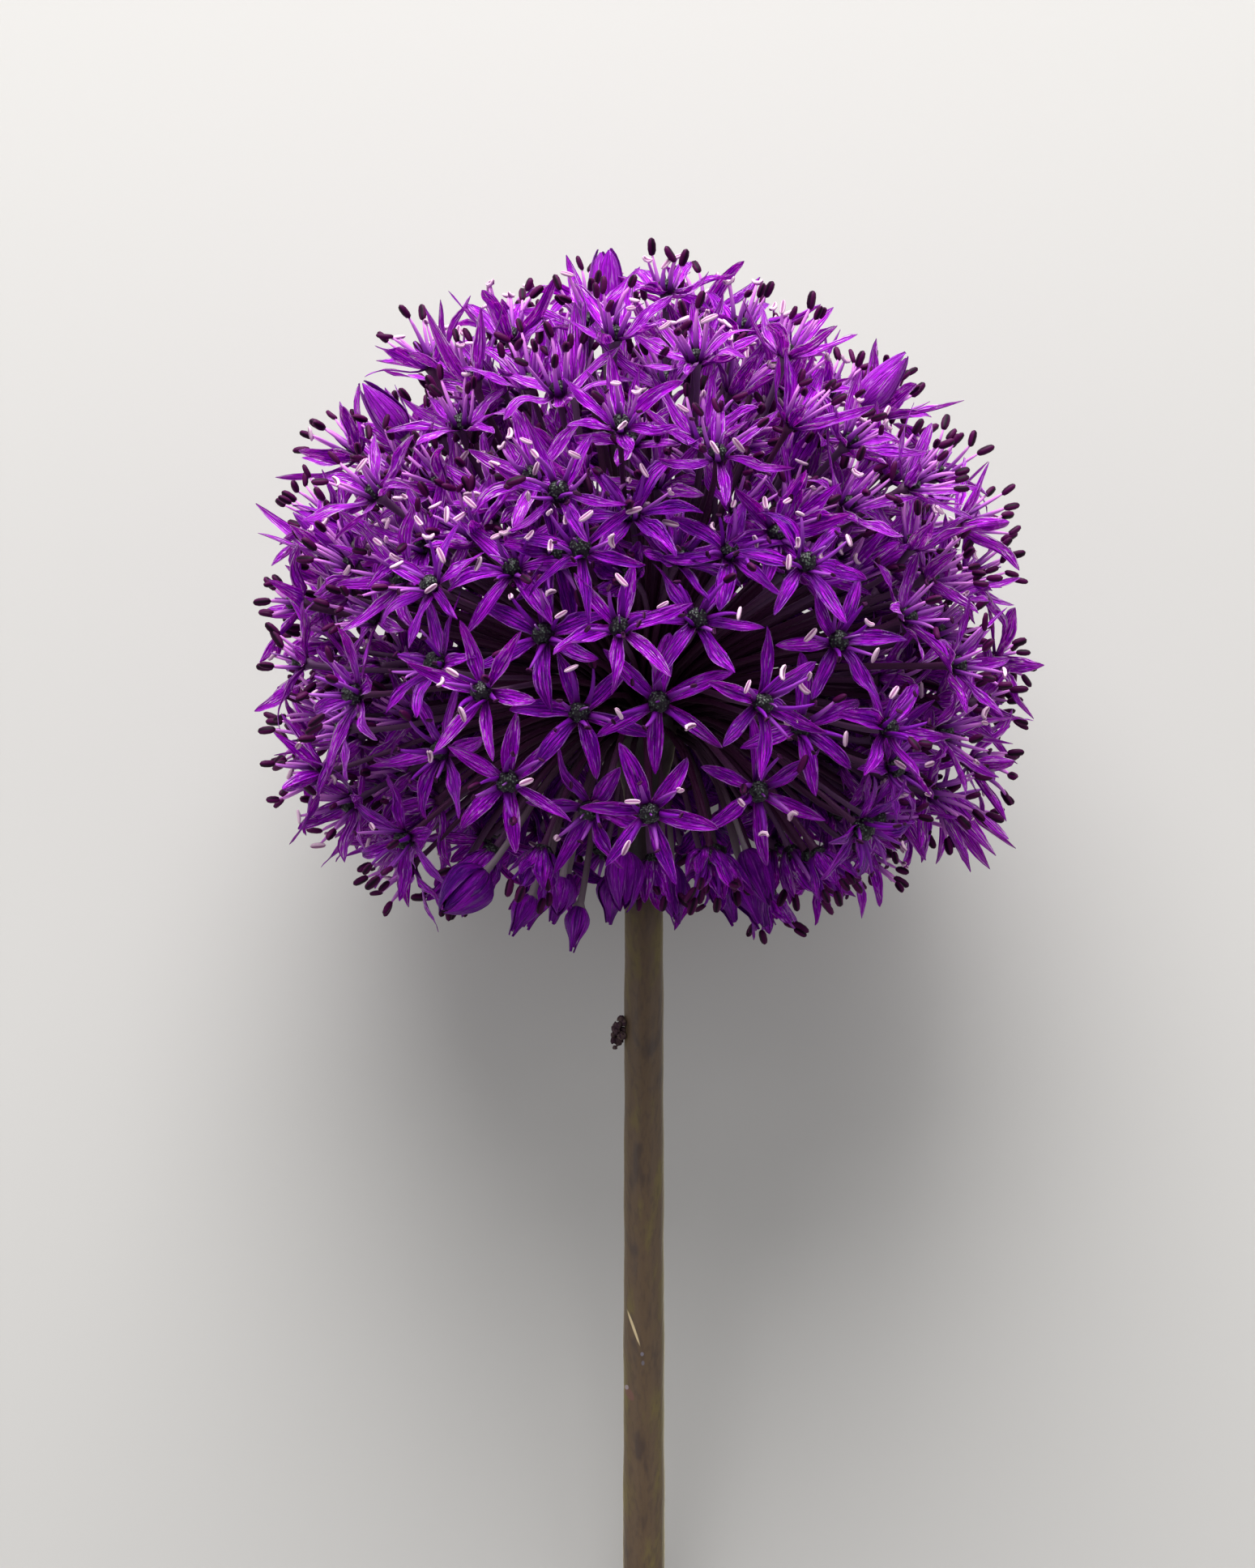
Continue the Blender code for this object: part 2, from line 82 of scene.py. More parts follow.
def smooth(x: Array) -> Array:
    """Smooth step: 3x^2 - 2x^3 with x held between 0 and 1."""
    x = np.clip(x, 0, 1)
    return x * x * (3 - 2 * x)


def across_to(values: Array, axes: int) -> Array:
    """The same values with more axes of length one at the end."""
    return values.reshape(values.shape + (1,) * axes)


def column(rows: Sequence[object], name: str) -> Array:
    """One attribute of every row, by its name, which may have dots in it."""
    return np.array([attrgetter(name)(row) for row in rows])


def direction(polar: Array, azimuth: Array) -> Array:
    """Unit vectors at an angle from the crown and an angle around the scape."""
    return np.stack(
        (np.sin(polar) * np.cos(azimuth), np.sin(polar) * np.sin(azimuth), np.cos(polar)), axis=-1
    )


@dataclass(frozen=True)
class LyingPose:
    """How the flower lies: tipped about X until its cut end and lowest florets touch the floor."""

    scape_length: float = 120 * MM
    cut_radius: float = 2.65 * MM
    cut_sides: int = 16
    centre_height: float = 40.2 * MM
    centre_y: float = 30.4 * MM
    softness: float = 0.5 * MM

    @property
    def tilt(self) -> float:
        """Angle of the scape above the floor, from the heights of its two ends.

        Returns:
            The angle in radians.
        """
        reach = math.hypot(self.scape_length, self.cut_radius)
        edge = self.cut_radius * math.cos(math.pi / self.cut_sides)
        return math.asin(self.centre_height / reach) - math.atan2(edge, self.scape_length)

    @property
    def axes(self) -> Array:
        """Where the upright X, Y and Z axes point once it lies, one a row."""
        c, s = math.cos(self.tilt), math.sin(self.tilt)
        return np.array(((1, 0, 0), (0, s, -c), (0, c, s)))

    @property
    def centre(self) -> Array:
        """The umbel's centre in the row frame."""
        return np.array((0, self.centre_y, self.centre_height))

    def laid(self, points: Array) -> Array:
        """Lay upright points down, and press what would sink into the floor back up.

        The height becomes s * ln(1 + exp(z / s)), which leaves high points where they are
        and eases low ones to just above zero.

        Args:
            points: upright points along the last axis.

        Returns:
            The points in the row frame.
        """
        placed = points @ self.axes + self.centre
        placed[..., 2] = self.softness * np.logaddexp(0, placed[..., 2] / self.softness)
        return placed

    def upright(self, points: Array) -> Array:
        """Row frame points stood up again, without the press."""
        return (points - self.centre) @ self.axes.T


POSE = LyingPose()


# --- meshes ----------------------------------------------------------------------------


def sweep(path: Array, side: Array, x: Array, y: Array) -> Array:
    """Carry a cross-section along each path.

    The tangent is the central difference of the path.  The lateral vector is the side vector
    less its part along the tangent, and the third vector is tangent x lateral.  Each point is
    path + x * lateral + y * third.

    Args:
        path: (n, rings, 3) centre lines.
        side: (n, 1, 3) or (n, rings, 3) vectors that x roughly follows.
        x: section coordinates, broadcastable to (n, rings, around).
        y: the other section coordinates.

    Returns:
        (n, rings, around, 3) points, counterclockwise about the way of travel.
    """
    tangent = unit(np.gradient(path, axis=1))
    lateral = unit(side - dot(side, tangent) * tangent)
    third = np.cross(tangent, lateral)
    shape = np.broadcast_shapes(x.shape, y.shape, path.shape[:2] + (1,))
    x = np.broadcast_to(x, shape)[..., None]
    y = np.broadcast_to(y, shape)[..., None]
    return path[:, :, None] + x * lateral[:, :, None] + y * third[:, :, None]


def ring(sides: int) -> tuple[Array, Array]:
    """Cosines and sines of even angles around a tube."""
    angle = np.arange(sides) * 2 * math.pi / sides
    return np.cos(angle), np.sin(angle)


def round_tubes(path: Array, side: Array, radius: Array, sides: int) -> Array:
    """Sweep round cross-sections: radius times the cosine and sine of each angle.

    Args:
        path: (n, rings, 3) centre lines.
        side: vectors that the sections' x roughly follows.
        radius: the radii, broadcastable to (n, rings, sides).
        sides: points in a ring.

    Returns:
        (n, rings, sides, 3) points.
    """
    c, s = ring(sides)
    return sweep(path, side, radius * c, radius * s)


def ball(middle: Array, axis: Array, size: Array, rings: int) -> tuple[Array, Array]:
    """Balls as tubes: size times the cosine of the polar angle along, and its sine across.

    Args:
        middle: (n, 1, 3) places.
        axis: (n, 1, 3) directions of the poles.
        size: (n, 1, 1) radii.
        rings: rings from pole to pole.

    Returns:
        The centre lines, and the (n, rings, 1) radii along them.
    """
    polar = np.linspace(math.pi - POLE_GAP, POLE_GAP, rings)[:, None]
    return middle + size * np.cos(polar) * axis, size * np.sin(polar)


def bake_map(count: int, rings: int, around: int) -> Array:
    """Texture coordinates of closed tubes, each unrolled into its own cell of a square grid.

    The wall fills the upper nine tenths of a cell, and the two end caps are small polygons
    in the strip below it.

    Args:
        count: number of tubes.
        rings: rings in each tube.
        around: points in a ring.

    Returns:
        One (u, v) row for each face corner, in the order that closed_tubes makes them.
    """
    step = np.arange(around)
    level = np.arange(rings - 1)
    corner_a = (step[None, :, None] + np.array((0, 1, 1, 0))) / around
    corner_r = (level[:, None, None] + np.array((0, 0, 1, 1))) / (rings - 1)
    corner_a, corner_r = np.broadcast_arrays(corner_a, corner_r)
    wall = np.stack((0.03 + 0.94 * corner_a, 0.13 + 0.84 * corner_r), axis=-1).reshape(-1, 2)
    turn = 2 * math.pi * step / around
    disc = 0.045 * np.stack((np.cos(turn), np.sin(turn)), axis=-1)
    caps = np.concatenate((disc[::-1] + (0.25, 0.06), disc + (0.75, 0.06)))
    cells = math.ceil(math.sqrt(count))
    index = np.arange(count)
    corner = np.stack((index % cells, index // cells), axis=-1)[:, None]
    walls = (corner + wall[None]) / cells
    ends = (corner + caps[None]) / cells
    return np.concatenate((walls.reshape(-1, 2), ends.reshape(-1, 2)))


def closed_tubes(name: str, points: Array, fields: Fields, crease: float | None) -> bpy.types.Mesh:
    """Make one mesh of closed tubes: rings joined by quads, with a polygon over each end.

    Args:
        name: the mesh's name.
        points: (n, rings, around, 3) points in the row frame.
        fields: attributes by name, each broadcastable to (n, rings, around).
        crease: edges that bend more than this many radians stay sharp, or None.

    Returns:
        The mesh, with smooth faces that point outwards.
    """
    count, rings, around = points.shape[:3]
    index = np.arange(count * rings * around).reshape(count, rings, around)
    after = np.roll(index, -1, axis=2)
    quads = np.stack((index[:, :-1], after[:, :-1], after[:, 1:], index[:, 1:]), axis=-1)
    caps = np.concatenate((index[:, :1, ::-1], index[:, -1:]), axis=1)
    faces = quads.reshape(-1, 4).tolist() + caps.reshape(-1, around).tolist()
    mesh = bpy.data.meshes.new(name)
    mesh.from_pydata(points.reshape(-1, 3).tolist(), [], faces)
    for field, values in fields.items():
        layer = mesh.attributes.new(field, "FLOAT", "POINT")
        spread = np.broadcast_to(values, points.shape[:3]).astype(np.float32)
        layer.data.foreach_set("value", spread.ravel())
    uv = mesh.uv_layers.new(name="OFBake")
    uv.data.foreach_set("uv", bake_map(count, rings, around).astype(np.float32).ravel())
    mesh.shade_smooth()
    if crease is not None:
        mesh.set_sharp_from_angle(angle=crease)
    return mesh


def add_piece(
    name: str, points: Array, fields: Fields, material: bpy.types.Material,
    nodes: list[str], crease: float | None = None,
) -> Piece:
    """Lay tubes down as one finished piece that rides on the root body.

    Args:
        name: the piece's name.
        points: (n, rings, around, 3) upright points.
        fields: vertex attributes that its material reads.
        material: its finish.
        nodes: CAD nodes that it stands for.
        crease: the angle for sharp edges, or None.

    Returns:
        The new object.
    """
    mesh = closed_tubes(name, POSE.laid(points), fields, crease)
    mesh.materials.append(material)
    piece = bpy.data.objects.new(name, mesh)
    bpy.context.scene.collection.objects.link(piece)
    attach(piece, "root")
    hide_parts(*nodes)
    return piece


# --- finishes --------------------------------------------------------------------------


def linear(colour: str) -> tuple[float, float, float, float]:
    """Turn an sRGB hex colour into a linear one.

    Args:
        colour: the hex colour, such as "#6E0498".

    Returns:
        Linear red, green and blue, with alpha 1.
    """
    values = (int(colour[k : k + 2], 16) / 255 for k in (1, 3, 5))
    red, green, blue = (v / 12.92 if v <= 0.04045 else ((v + 0.055) / 1.055) ** 2.4 for v in values)
    return red, green, blue, 1.0


def add_node(
    tree: bpy.types.NodeTree, kind: str, inputs: dict, output: int = 0, **settings: object
) -> Socket | None:
    """Add a shader node, set it up and plug its inputs.

    Args:
        tree: the material's node tree.
        kind: the node's type without the ShaderNode prefix.
        inputs: a value or another node's output for each input, by name or number.
        output: which of its outputs is used.
        settings: the node's own properties.

    Returns:
        That output, or None for a node without outputs.
    """
    node = tree.nodes.new("ShaderNode" + kind)
    for key, value in settings.items():
        setattr(node, key, value)
    for key, value in inputs.items():
        if isinstance(value, Socket):
            tree.links.new(value, node.inputs[key])
        else:
            node.inputs[key].default_value = value
    return node.outputs[output] if node.outputs else None


# settings that many nodes share
EASED = {"interpolation_type": "SMOOTHSTEP"}
TIMES = {"operation": "MULTIPLY"}
COLOURED = {"data_type": "RGBA"}


@dataclass(frozen=True)
class Finish:
    """A procedural material on one Principled shader."""

    name: str

    def surface(self, add: Callable[..., Socket]) -> dict:
        """What goes into the shader: a value or socket for each of its inputs."""
        raise NotImplementedError

    def material(self) -> bpy.types.Material:
        """Build the node tree, from the surface to the output.

        Returns:
            The new material.
        """
        material = bpy.data.materials.new(self.name)
        material.use_nodes = True
        tree = material.node_tree
        tree.nodes.clear()
        add = partial(add_node, tree)
        shader = add("BsdfPrincipled", self.surface(add))
        add("OutputMaterial", {"Surface": shader})
        return material


@dataclass(frozen=True)
class TepalSkin(Finish):
    """Fresh petal skin: thin, silky and a little see-through, drawn lengthwise by dark veins.

    The eye sees a saturated violet with lilac-white glints painted into the colour where light
    would catch the folded cells and the rim, and dark magenta where the tepal narrows into the
    heart of the flower.
    """

    name: str = "allium_tepal"
    violet: str = "#6C039D"
    magenta: str = "#C20CE9"
    heart: str = "#3A0440"
    lilac: str = "#C91AF0"
    # painted highlight: glint is the colour of the painted glints, and glints their strength
    glint: str = "#F8CCF2"
    vein: str = "#360054"
    sheen: str = "#C670F4"
    veins: float = 2.5  # on each side of the midrib; 0.4 mm apart, the finer ones are left out
    contrast: float = 1.0
    glints: float = 0.85
    roughness: float = 0.42
    glow: float = 0.25

    def surface(self, add: Callable[..., Socket]) -> dict:
        """Paint it on the attributes along, across and tone.

        Streaks are 0.5 mm wide, fibres 0.2 mm, and folds 0.2 mm by 1.4 mm.

        Args:
            add: adds a node to this finish's tree.

        Returns:
            A value or socket for each input of the shader that it sets.
        """
        along = add("Attribute", {}, 2, attribute_name="along")
        across = add("Attribute", {}, 2, attribute_name="across")
        tone = add("Attribute", {}, 2, attribute_name="tone")
        shift = add("Math", {0: tone, 1: 37.0}, **TIMES)
        flat = add("CombineXYZ", {0: across, 1: along, 2: shift})
        wide = add("VectorMath", {0: flat, 1: (2.2, 2.0, 1.0)}, **TIMES)
        narrow = add("VectorMath", {0: flat, 1: (5.8, 2.6, 1.0)}, **TIMES)
        folded = add("VectorMath", {0: flat, 1: (6.5, 6.5, 1.3)}, **TIMES)
        streaks = add("TexNoise", {"Vector": wide, "Scale": 1.0, "Detail": 3.0})
        fibres = add("TexNoise", {"Vector": narrow, "Scale": 1.0, "Detail": 2.0})
        folds = add("TexNoise", {"Vector": folded, "Scale": 1.0, "Detail": 2.0})
        wander = add("Math", {0: streaks, 1: 0.16, 2: across}, operation="MULTIPLY_ADD")
        turn = add("Math", {0: wander, 1: math.pi * self.veins}, **TIMES)
        wave = add("Math", {0: add("Math", {0: turn}, operation="SINE")}, operation="ABSOLUTE")
        vein = add("MapRange", {0: wave, 2: 0.55, 3: 1.0, 4: 0.0}, **EASED)
        rim = add("Math", {0: across}, operation="ABSOLUTE")
        light, dark = 0.8 * self.contrast, 0.6 * self.contrast
        # lilac streaks: partly the skin's own streaky colour, partly painted highlight along the
        # tepal
        light = add("MapRange", {0: streaks, 1: 0.46, 2: 0.62, 3: 0.0, 4: light}, **EASED)
        dark = add("MapRange", {0: fibres, 1: 0.37, 2: 0.52, 3: dark, 4: 0.0}, **EASED)
        drawn = add("Math", {0: vein, 1: 0.7 * self.contrast}, **TIMES)
        # painted highlight along the rim, where light would catch the margin
        edge = add("MapRange", {0: rim, 1: 0.8, 2: 1.0, 3: 0.0, 4: 0.16}, **EASED)
        ridge = add("Math", {0: add("Math", {0: fibres, 1: folds}), 1: edge})
        # painted glints: pale colour on the fold ridges and the rim, stronger on young tepals
        painted_glint = add("MapRange", {0: ridge, 1: 1.1, 2: 1.24, 3: 0.0, 4: self.glints}, **EASED)
        lit = add("MapRange", {0: tone, 1: 0.15, 2: 0.95, 3: 0.2}, **EASED)
        painted_glint = add("Math", {0: painted_glint, 1: lit}, **TIMES)
        root = add("MapRange", {0: along, 2: 0.24, 3: 1.0, 4: 0.0}, **EASED)
        skin = linear(self.violet)
        # pale lift on young tepals: partly their paler skin, partly painted glow of light through
        # them
        fresh = add("MapRange", {0: tone, 1: 0.5, 2: 1.0, 4: 0.03}, **EASED)
        layers = (
            (tone, self.magenta), (light, self.lilac), (fresh, self.glint), (dark, self.vein),
            (drawn, self.vein), (painted_glint, self.glint), (root, self.heart),
        )
        for share, colour in layers:
            skin = add("Mix", {0: share, 6: skin, 7: linear(colour)}, 2, **COLOURED)
        height = add("Math", {0: streaks, 1: add("Math", {0: fibres, 1: folds})})
        height = add("Math", {0: vein, 1: -0.3, 2: height}, operation="MULTIPLY_ADD")
        rough = {1: 0.4, 2: 0.62, 3: self.roughness + 0.1, 4: self.roughness - 0.18}
        return {
            "Base Color": skin,
            "Roughness": add("MapRange", {0: fibres, **rough}),
            "Normal": add("Bump", {"Height": height, "Distance": 0.35 * MM}),
            "Subsurface Weight": self.glow,
            "Subsurface Radius": (1.0, 0.3, 1.0),
            "Subsurface Scale": 0.4 * MM,
            "Specular IOR Level": 0.27,
            "Specular Tint": linear(self.sheen),
        }


@dataclass(frozen=True)
class StalkSkin(Finish):
    """Skin of a thin plant stalk: smooth, slightly waxy, its colour running from foot to head.

    Old stalks keep the dark colour, and young ones show the pale one towards the head.
    """

    foot: str
    dark: str
    pale: str
    roughness: float = 0.4
    pale_from: float = 0.05
    sheen: str = "#E0C0F0"

    def surface(self, add: Callable[..., Socket]) -> dict:
        """Paint it on the attributes along and tone, with cell rows about 0.4 mm apart.

        Args:
            add: adds a node to this finish's tree.

        Returns:
            A value or socket for each input of the shader that it sets.
        """
        along = add("Attribute", {}, 2, attribute_name="along")
        tone = add("Attribute", {}, 2, attribute_name="tone")
        climb = add("MapRange", {0: along, 2: 0.5}, **EASED)
        late = add("MapRange", {0: along, 1: self.pale_from}, **EASED)
        share = add("Math", {0: late, 1: tone}, **TIMES)
        skin = linear(self.foot)
        for part, colour in ((climb, self.dark), (share, self.pale)):
            skin = add("Mix", {0: part, 6: skin, 7: linear(colour)}, 2, **COLOURED)
        place = add("TexCoord", {}, 3)
        grain = add("TexNoise", {"Vector": place, "Scale": 2600.0, "Detail": 2.0})
        return {
            "Base Color": skin,
            "Roughness": self.roughness,
            "Normal": add("Bump", {"Height": grain, "Distance": 0.05 * MM, "Strength": 0.5}),
            "Specular IOR Level": 0.25,
            "Specular Tint": linear(self.sheen),
        }


@dataclass(frozen=True)
class AntherSkin(Finish):
    """Skin of a pollen sac: matt and finely grained, with a dark seam between its two lobes."""

    lobe: str
    seam: str
    roughness: float

    def surface(self, add: Callable[..., Socket]) -> dict:
        """Paint it on the attributes across, which is 0 in the seam, and tone.

        The grain is pollen and cells, about 0.2 mm apart.

        Args:
            add: adds a node to this finish's tree.

        Returns:
            A value or socket for each input of the shader that it sets.
        """
        across = add("Attribute", {}, 2, attribute_name="across")
        tone = add("Attribute", {}, 2, attribute_name="tone")
        seam = add("MapRange", {0: across, 1: 0.1, 2: 0.75, 3: 1.0, 4: 0.0}, **EASED)
        dim = add("Math", {0: tone, 1: 0.4, 2: 0.75}, operation="MULTIPLY_ADD")
        skin = add("HueSaturation", {"Color": linear(self.lobe), "Value": dim})
        place = add("TexCoord", {}, 3)
        grain = add("TexNoise", {"Vector": place, "Scale": 5000.0, "Detail": 2.0})
        return {
            "Base Color": add("Mix", {0: seam, 6: skin, 7: linear(self.seam)}, 2, **COLOURED),
            "Roughness": self.roughness,
            "Normal": add("Bump", {"Height": grain, "Distance": 0.05 * MM, "Strength": 0.6}),
            "Specular IOR Level": 0.1,
        }


@dataclass(frozen=True)
class OvarySkin(Finish):
    """Skin of the unripe ovary: black-green warts with a violet bloom between them."""

    name: str = "allium_ovary"
    wart: str = "#5A6A5A"
    bloom: str = "#100612"
    roughness: float = 0.4

    def surface(self, add: Callable[..., Socket]) -> dict:
        """Paint it on Object coordinates, with warts 0.4 mm apart.

        Args:
            add: adds a node to this finish's tree.

        Returns:
            A value or socket for each input of the shader that it sets.
        """
        place = add("TexCoord", {}, 3)
        warts = add("TexVoronoi", {"Vector": place, "Scale": 2600.0})
        between = add("MapRange", {0: warts, 1: 0.1, 2: 0.45}, **EASED)
        colours = {6: linear(self.wart), 7: linear(self.bloom)}
        height = add("Math", {0: 1.0, 1: warts}, operation="SUBTRACT")
        return {
            "Base Color": add("Mix", {0: between, **colours}, 2, **COLOURED),
            "Roughness": self.roughness,
            "Normal": add("Bump", {"Height": height, "Distance": 0.18 * MM, "Strength": 0.9}),
            "Specular IOR Level": 0.35,
        }


@dataclass(frozen=True)
class Scar:
    """A mark on the front of the scape: its middle and half size in mm, height from the cut."""

    x: float
    height: float
    half_width: float
    half_height: float
    slant: float
    colour: str


@dataclass(frozen=True)
class ScapeSkin(Finish):
    """Skin of the scape: brown over olive, softly clouded lengthwise, under a pale waxy bloom."""

    name: str = "allium_scape"
    brown: str = "#5E4B38"
    olive: str = "#6E6234"
    purple: str = "#443630"
    wax: str = "#F2EAC8"
    pith: str = "#C9CC9A"
    # neck: partly the darker skin under the head, partly painted shade cast by the head
    neck: str = "#24141E"
    scars: tuple[Scar, ...] = (
        Scar(-1.25, 45.4, 0.17, 2.1, 0.36, "#CDB890"),
        Scar(-1.75, 37.2, 0.5, 0.8, 0.4, "#6C4B40"),
        Scar(-2.1, 38.0, 0.24, 0.3, 0.0, "#94868A"),
        Scar(-0.2, 42.2, 0.22, 0.26, 0.0, "#77707A"),
        Scar(-0.1, 41.1, 0.2, 0.3, 0.0, "#6A6268"),
    )
    length: float = 120.0
    roughness: float = 0.5

    def surface(self, add: Callable[..., Socket]) -> dict:
        """Paint it on Object coordinates and the attributes along, front and cut.

        Clouds are 3 mm wide and 12 mm long, and fibres 0.5 mm wide.  A scar covers the
        places where the square of u plus that of v stays under one, with u along it and v
        across, each as a share of its half size.

        Args:
            add: adds a node to this finish's tree.

        Returns:
            A value or socket for each input of the shader that it sets.
        """
        place = add("TexCoord", {}, 3)
        drawn = add("VectorMath", {0: place, 1: (1.0, 0.22, 1.0)}, **TIMES)
        clouds = add("TexNoise", {"Vector": drawn, "Scale": 330.0, "Detail": 3.0})
        fibres = add("TexNoise", {"Vector": drawn, "Scale": 2000.0, "Detail": 3.0})
        along = add("Attribute", {}, 2, attribute_name="along")
        front = add("Attribute", {}, 2, attribute_name="front")
        cut = add("Attribute", {}, 2, attribute_name="cut")
        olive = add("MapRange", {0: clouds, 1: 0.5, 2: 0.68, 4: 0.7}, **EASED)
        purple = add("MapRange", {0: clouds, 1: 0.46, 2: 0.34, 4: 0.8}, **EASED)
        thread = add("MapRange", {0: fibres, 1: 0.45, 2: 0.7, 4: 0.4}, **EASED)
        # near-black over the neck: partly its own colour, partly painted shade under the head
        neck = add("MapRange", {0: along, 1: 0.78, 2: 0.86, 4: 0.92}, **EASED)
        layers = [(olive, self.olive), (purple, self.purple), (thread, self.purple)]
        x = add("Math", {0: add("SeparateXYZ", {0: place}), 1: 1 / MM}, **TIMES)
        up = add("Math", {0: along, 1: self.length}, **TIMES)
        for scar in self.scars:
            rise = add("Math", {0: up, 1: scar.height}, operation="SUBTRACT")
            middle = add("Math", {0: rise, 1: -scar.slant, 2: scar.x}, operation="MULTIPLY_ADD")
            aside = add("Math", {0: x, 1: middle}, operation="SUBTRACT")
            flat = add("CombineXYZ", {0: aside, 1: rise})
            sizes = (1 / scar.half_width, 1 / scar.half_height, 1.0)
            flat = add("VectorMath", {0: flat, 1: sizes}, **TIMES)
            far = add("VectorMath", {0: flat}, 1, operation="LENGTH")
            mark = add("MapRange", {0: far, 1: 1.15, 2: 0.75}, **EASED)
            layers.append((add("Math", {0: mark, 1: front}, **TIMES), scar.colour))
        skin = linear(self.brown)
        for share, colour in (*layers, (neck, self.neck), (cut, self.pith)):
            skin = add("Mix", {0: share, 6: skin, 7: linear(colour)}, 2, **COLOURED)
        rough = {1: 0.35, 2: 0.65, 3: self.roughness - 0.1, 4: self.roughness + 0.1}
        return {
            "Base Color": skin,
            "Roughness": add("MapRange", {0: clouds, **rough}),
            "Normal": add("Bump", {"Height": fibres, "Distance": 0.1 * MM, "Strength": 0.6}),
            "Specular IOR Level": 0.35,
            "Sheen Weight": 1.0,
            "Sheen Roughness": 0.3,
            "Sheen Tint": linear(self.wax),
        }


@dataclass(frozen=True)
class StudioCard(Finish):
    """Matt pale card under the flower, which glows faintly so that shadows stay light."""

    name: str = "studio_card"
    colour: str = "#A6A4A1"
    glow: float = 0.28

    def surface(self, add: Callable[..., Socket]) -> dict:
        """One colour, because it is only the stage."""
        return {
            "Base Color": linear(self.colour),
            "Roughness": 0.8,
            "Emission Color": linear(self.colour),
            "Emission Strength": self.glow,
        }


# --- the open flowers as the frame gives them --------------------------------------------


@dataclass
class Florets:
    """Places of the open flowers, upright, one a row.

    Attributes:
        centre: where the tepals meet.
        normal: the way that the flower faces.
        first: the way of its first tepal.
        second: square to the first, counterclockwise.
        cup: how far the tips stand above the centre.
        spread: how far the tepals open, from 0, shut, to 1, a flat star.
    """

    centre: Array
    normal: Array
    first: Array
    second: Array
    cup: Array
    spread: Array

    CROWN_LINKS = 24  # a star's middle point joins every point of its rim
    CROWN_RISE = 0.45 * MM
    ROUNDING = 1e6
    SORTING = 1e5
    ASKEW = np.array((0.31, 0.17, 0.94))  # no flower faces quite this way
    NOD_DROOP = 1.2
    NOD_SHARE = 0.88
    NOD_CUP = 5.0 * MM
    NOD_SPREAD = 0.4
    HALF_WIDTH = 46 * MM  # of the head's outline, and its height above the middle
    HEIGHT = 57.5 * MM
    SIDE_BAND = 6.5 * MM  # flowers this near the outline have less room
    CROWN_BAND = 7 * MM

    @classmethod
    def read(cls, nodes: dict[str, bpy.types.Object]) -> "Florets":
        """Find the star flowers in the frame's cymes.

        Each star is a fan of triangles about its crown, so a point with 24 neighbours is a
        crown.  The six neighbours furthest from it are the tips.  The normal is the
        direction in which the tips spread least, turned away from the umbel's centre.

        Args:
            nodes: the frame's CAD nodes by name.

        Returns:
            The flowers, ordered by their places so that chance falls alike in every run.
        """
        crowns, tips = [], []
        for name in sorted(nodes):
            mesh = nodes[name].data
            places = np.empty(len(mesh.vertices) * 3, np.float32)
            mesh.vertices.foreach_get("co", places)
            mesh.calc_loop_triangles()
            corners = np.empty(len(mesh.loop_triangles) * 3, np.int32)
            mesh.loop_triangles.foreach_get("vertices", corners)
            rounded = np.round(places.reshape(-1, 3) * cls.ROUNDING).astype(np.int64)
            spots, merged = np.unique(rounded, axis=0, return_inverse=True)
            corners = merged.ravel()[corners.reshape(-1, 3)]
            links = np.concatenate((corners[:, :2], corners[:, 1:], corners[:, ::2]))
            links = np.unique(np.sort(links, axis=1), axis=0)
            spots = spots / cls.ROUNDING
            for crown in np.flatnonzero(np.bincount(links.ravel()) == cls.CROWN_LINKS):
                joined = links[(links == crown).any(axis=1)]
                rim = spots[joined.sum(axis=1) - crown]
                distance = np.linalg.norm(rim - spots[crown], axis=1)
                crowns.append(spots[crown])
                tips.append(rim[np.argsort(distance)[-PARTS:]])
        return cls.stood_up(POSE.upright(np.array(crowns)), POSE.upright(np.array(tips)))

    @classmethod
    def stood_up(cls, crown: Array, tips: Array) -> "Florets":
        """Work out the flowers' frames from their crowns and tips.

        Args:
            crown: (n, 3) middles of the stars.
            tips: (n, 6, 3) ends of their tepals.

        Returns:
            The flowers, ordered by their crowns.
        """
        order = np.lexsort(np.round(crown.T * cls.SORTING))
        crown, tips = crown[order], tips[order]
        middle = tips.mean(axis=1)
        normal = np.linalg.svd(tips - middle[:, None])[2][:, 2]
        normal = normal * np.sign(dot(normal, middle))
        centre = crown - cls.CROWN_RISE * normal
        side = unit(np.cross(normal, cls.ASKEW))
        up = np.cross(normal, side)
        spread = tips - middle[:, None]
        angle = np.arctan2(dot(spread, up[:, None])[..., 0], dot(spread, side[:, None])[..., 0])
        chosen = (angle % (2 * math.pi)).argmin(axis=1)
        first = tips[np.arange(len(tips)), chosen] - middle
        first = unit(first - dot(first, normal) * normal)
        cup = dot(middle - centre, normal)[:, 0]
        return cls(centre, normal, first, np.cross(normal, first), cup, np.ones(len(cup)))

    @classmethod
    def facing(
        cls, centre: Array, normal: Array, spin: Array, cup: Array, spread: Array
    ) -> "Florets":
        """Flowers from their places and directions.

        Args:
            centre: (n, 3) places.
            normal: (n, 3) ways that they face.
            spin: how far each is turned about its normal, in radians.
            cup: heights of their tips.
            spread: how far they are open.

        Returns:
            The flowers.
        """
        side = unit(np.cross(normal, cls.ASKEW))
        other = np.cross(normal, side)
        first = np.cos(spin)[:, None] * side + np.sin(spin)[:, None] * other
        return cls(centre, normal, first, np.cross(normal, first), cup, spread)

    def joined(self, others: "Florets") -> "Florets":
        """These flowers and others in one set."""
        mine, theirs = vars(self), vars(others)
        return Florets(**{name: np.concatenate((mine[name], theirs[name])) for name in mine})

    def chosen(self, which: Array) -> "Florets":
        """Only the flowers where which is true."""
        return Florets(**{name: values[which] for name, values in vars(self).items()})

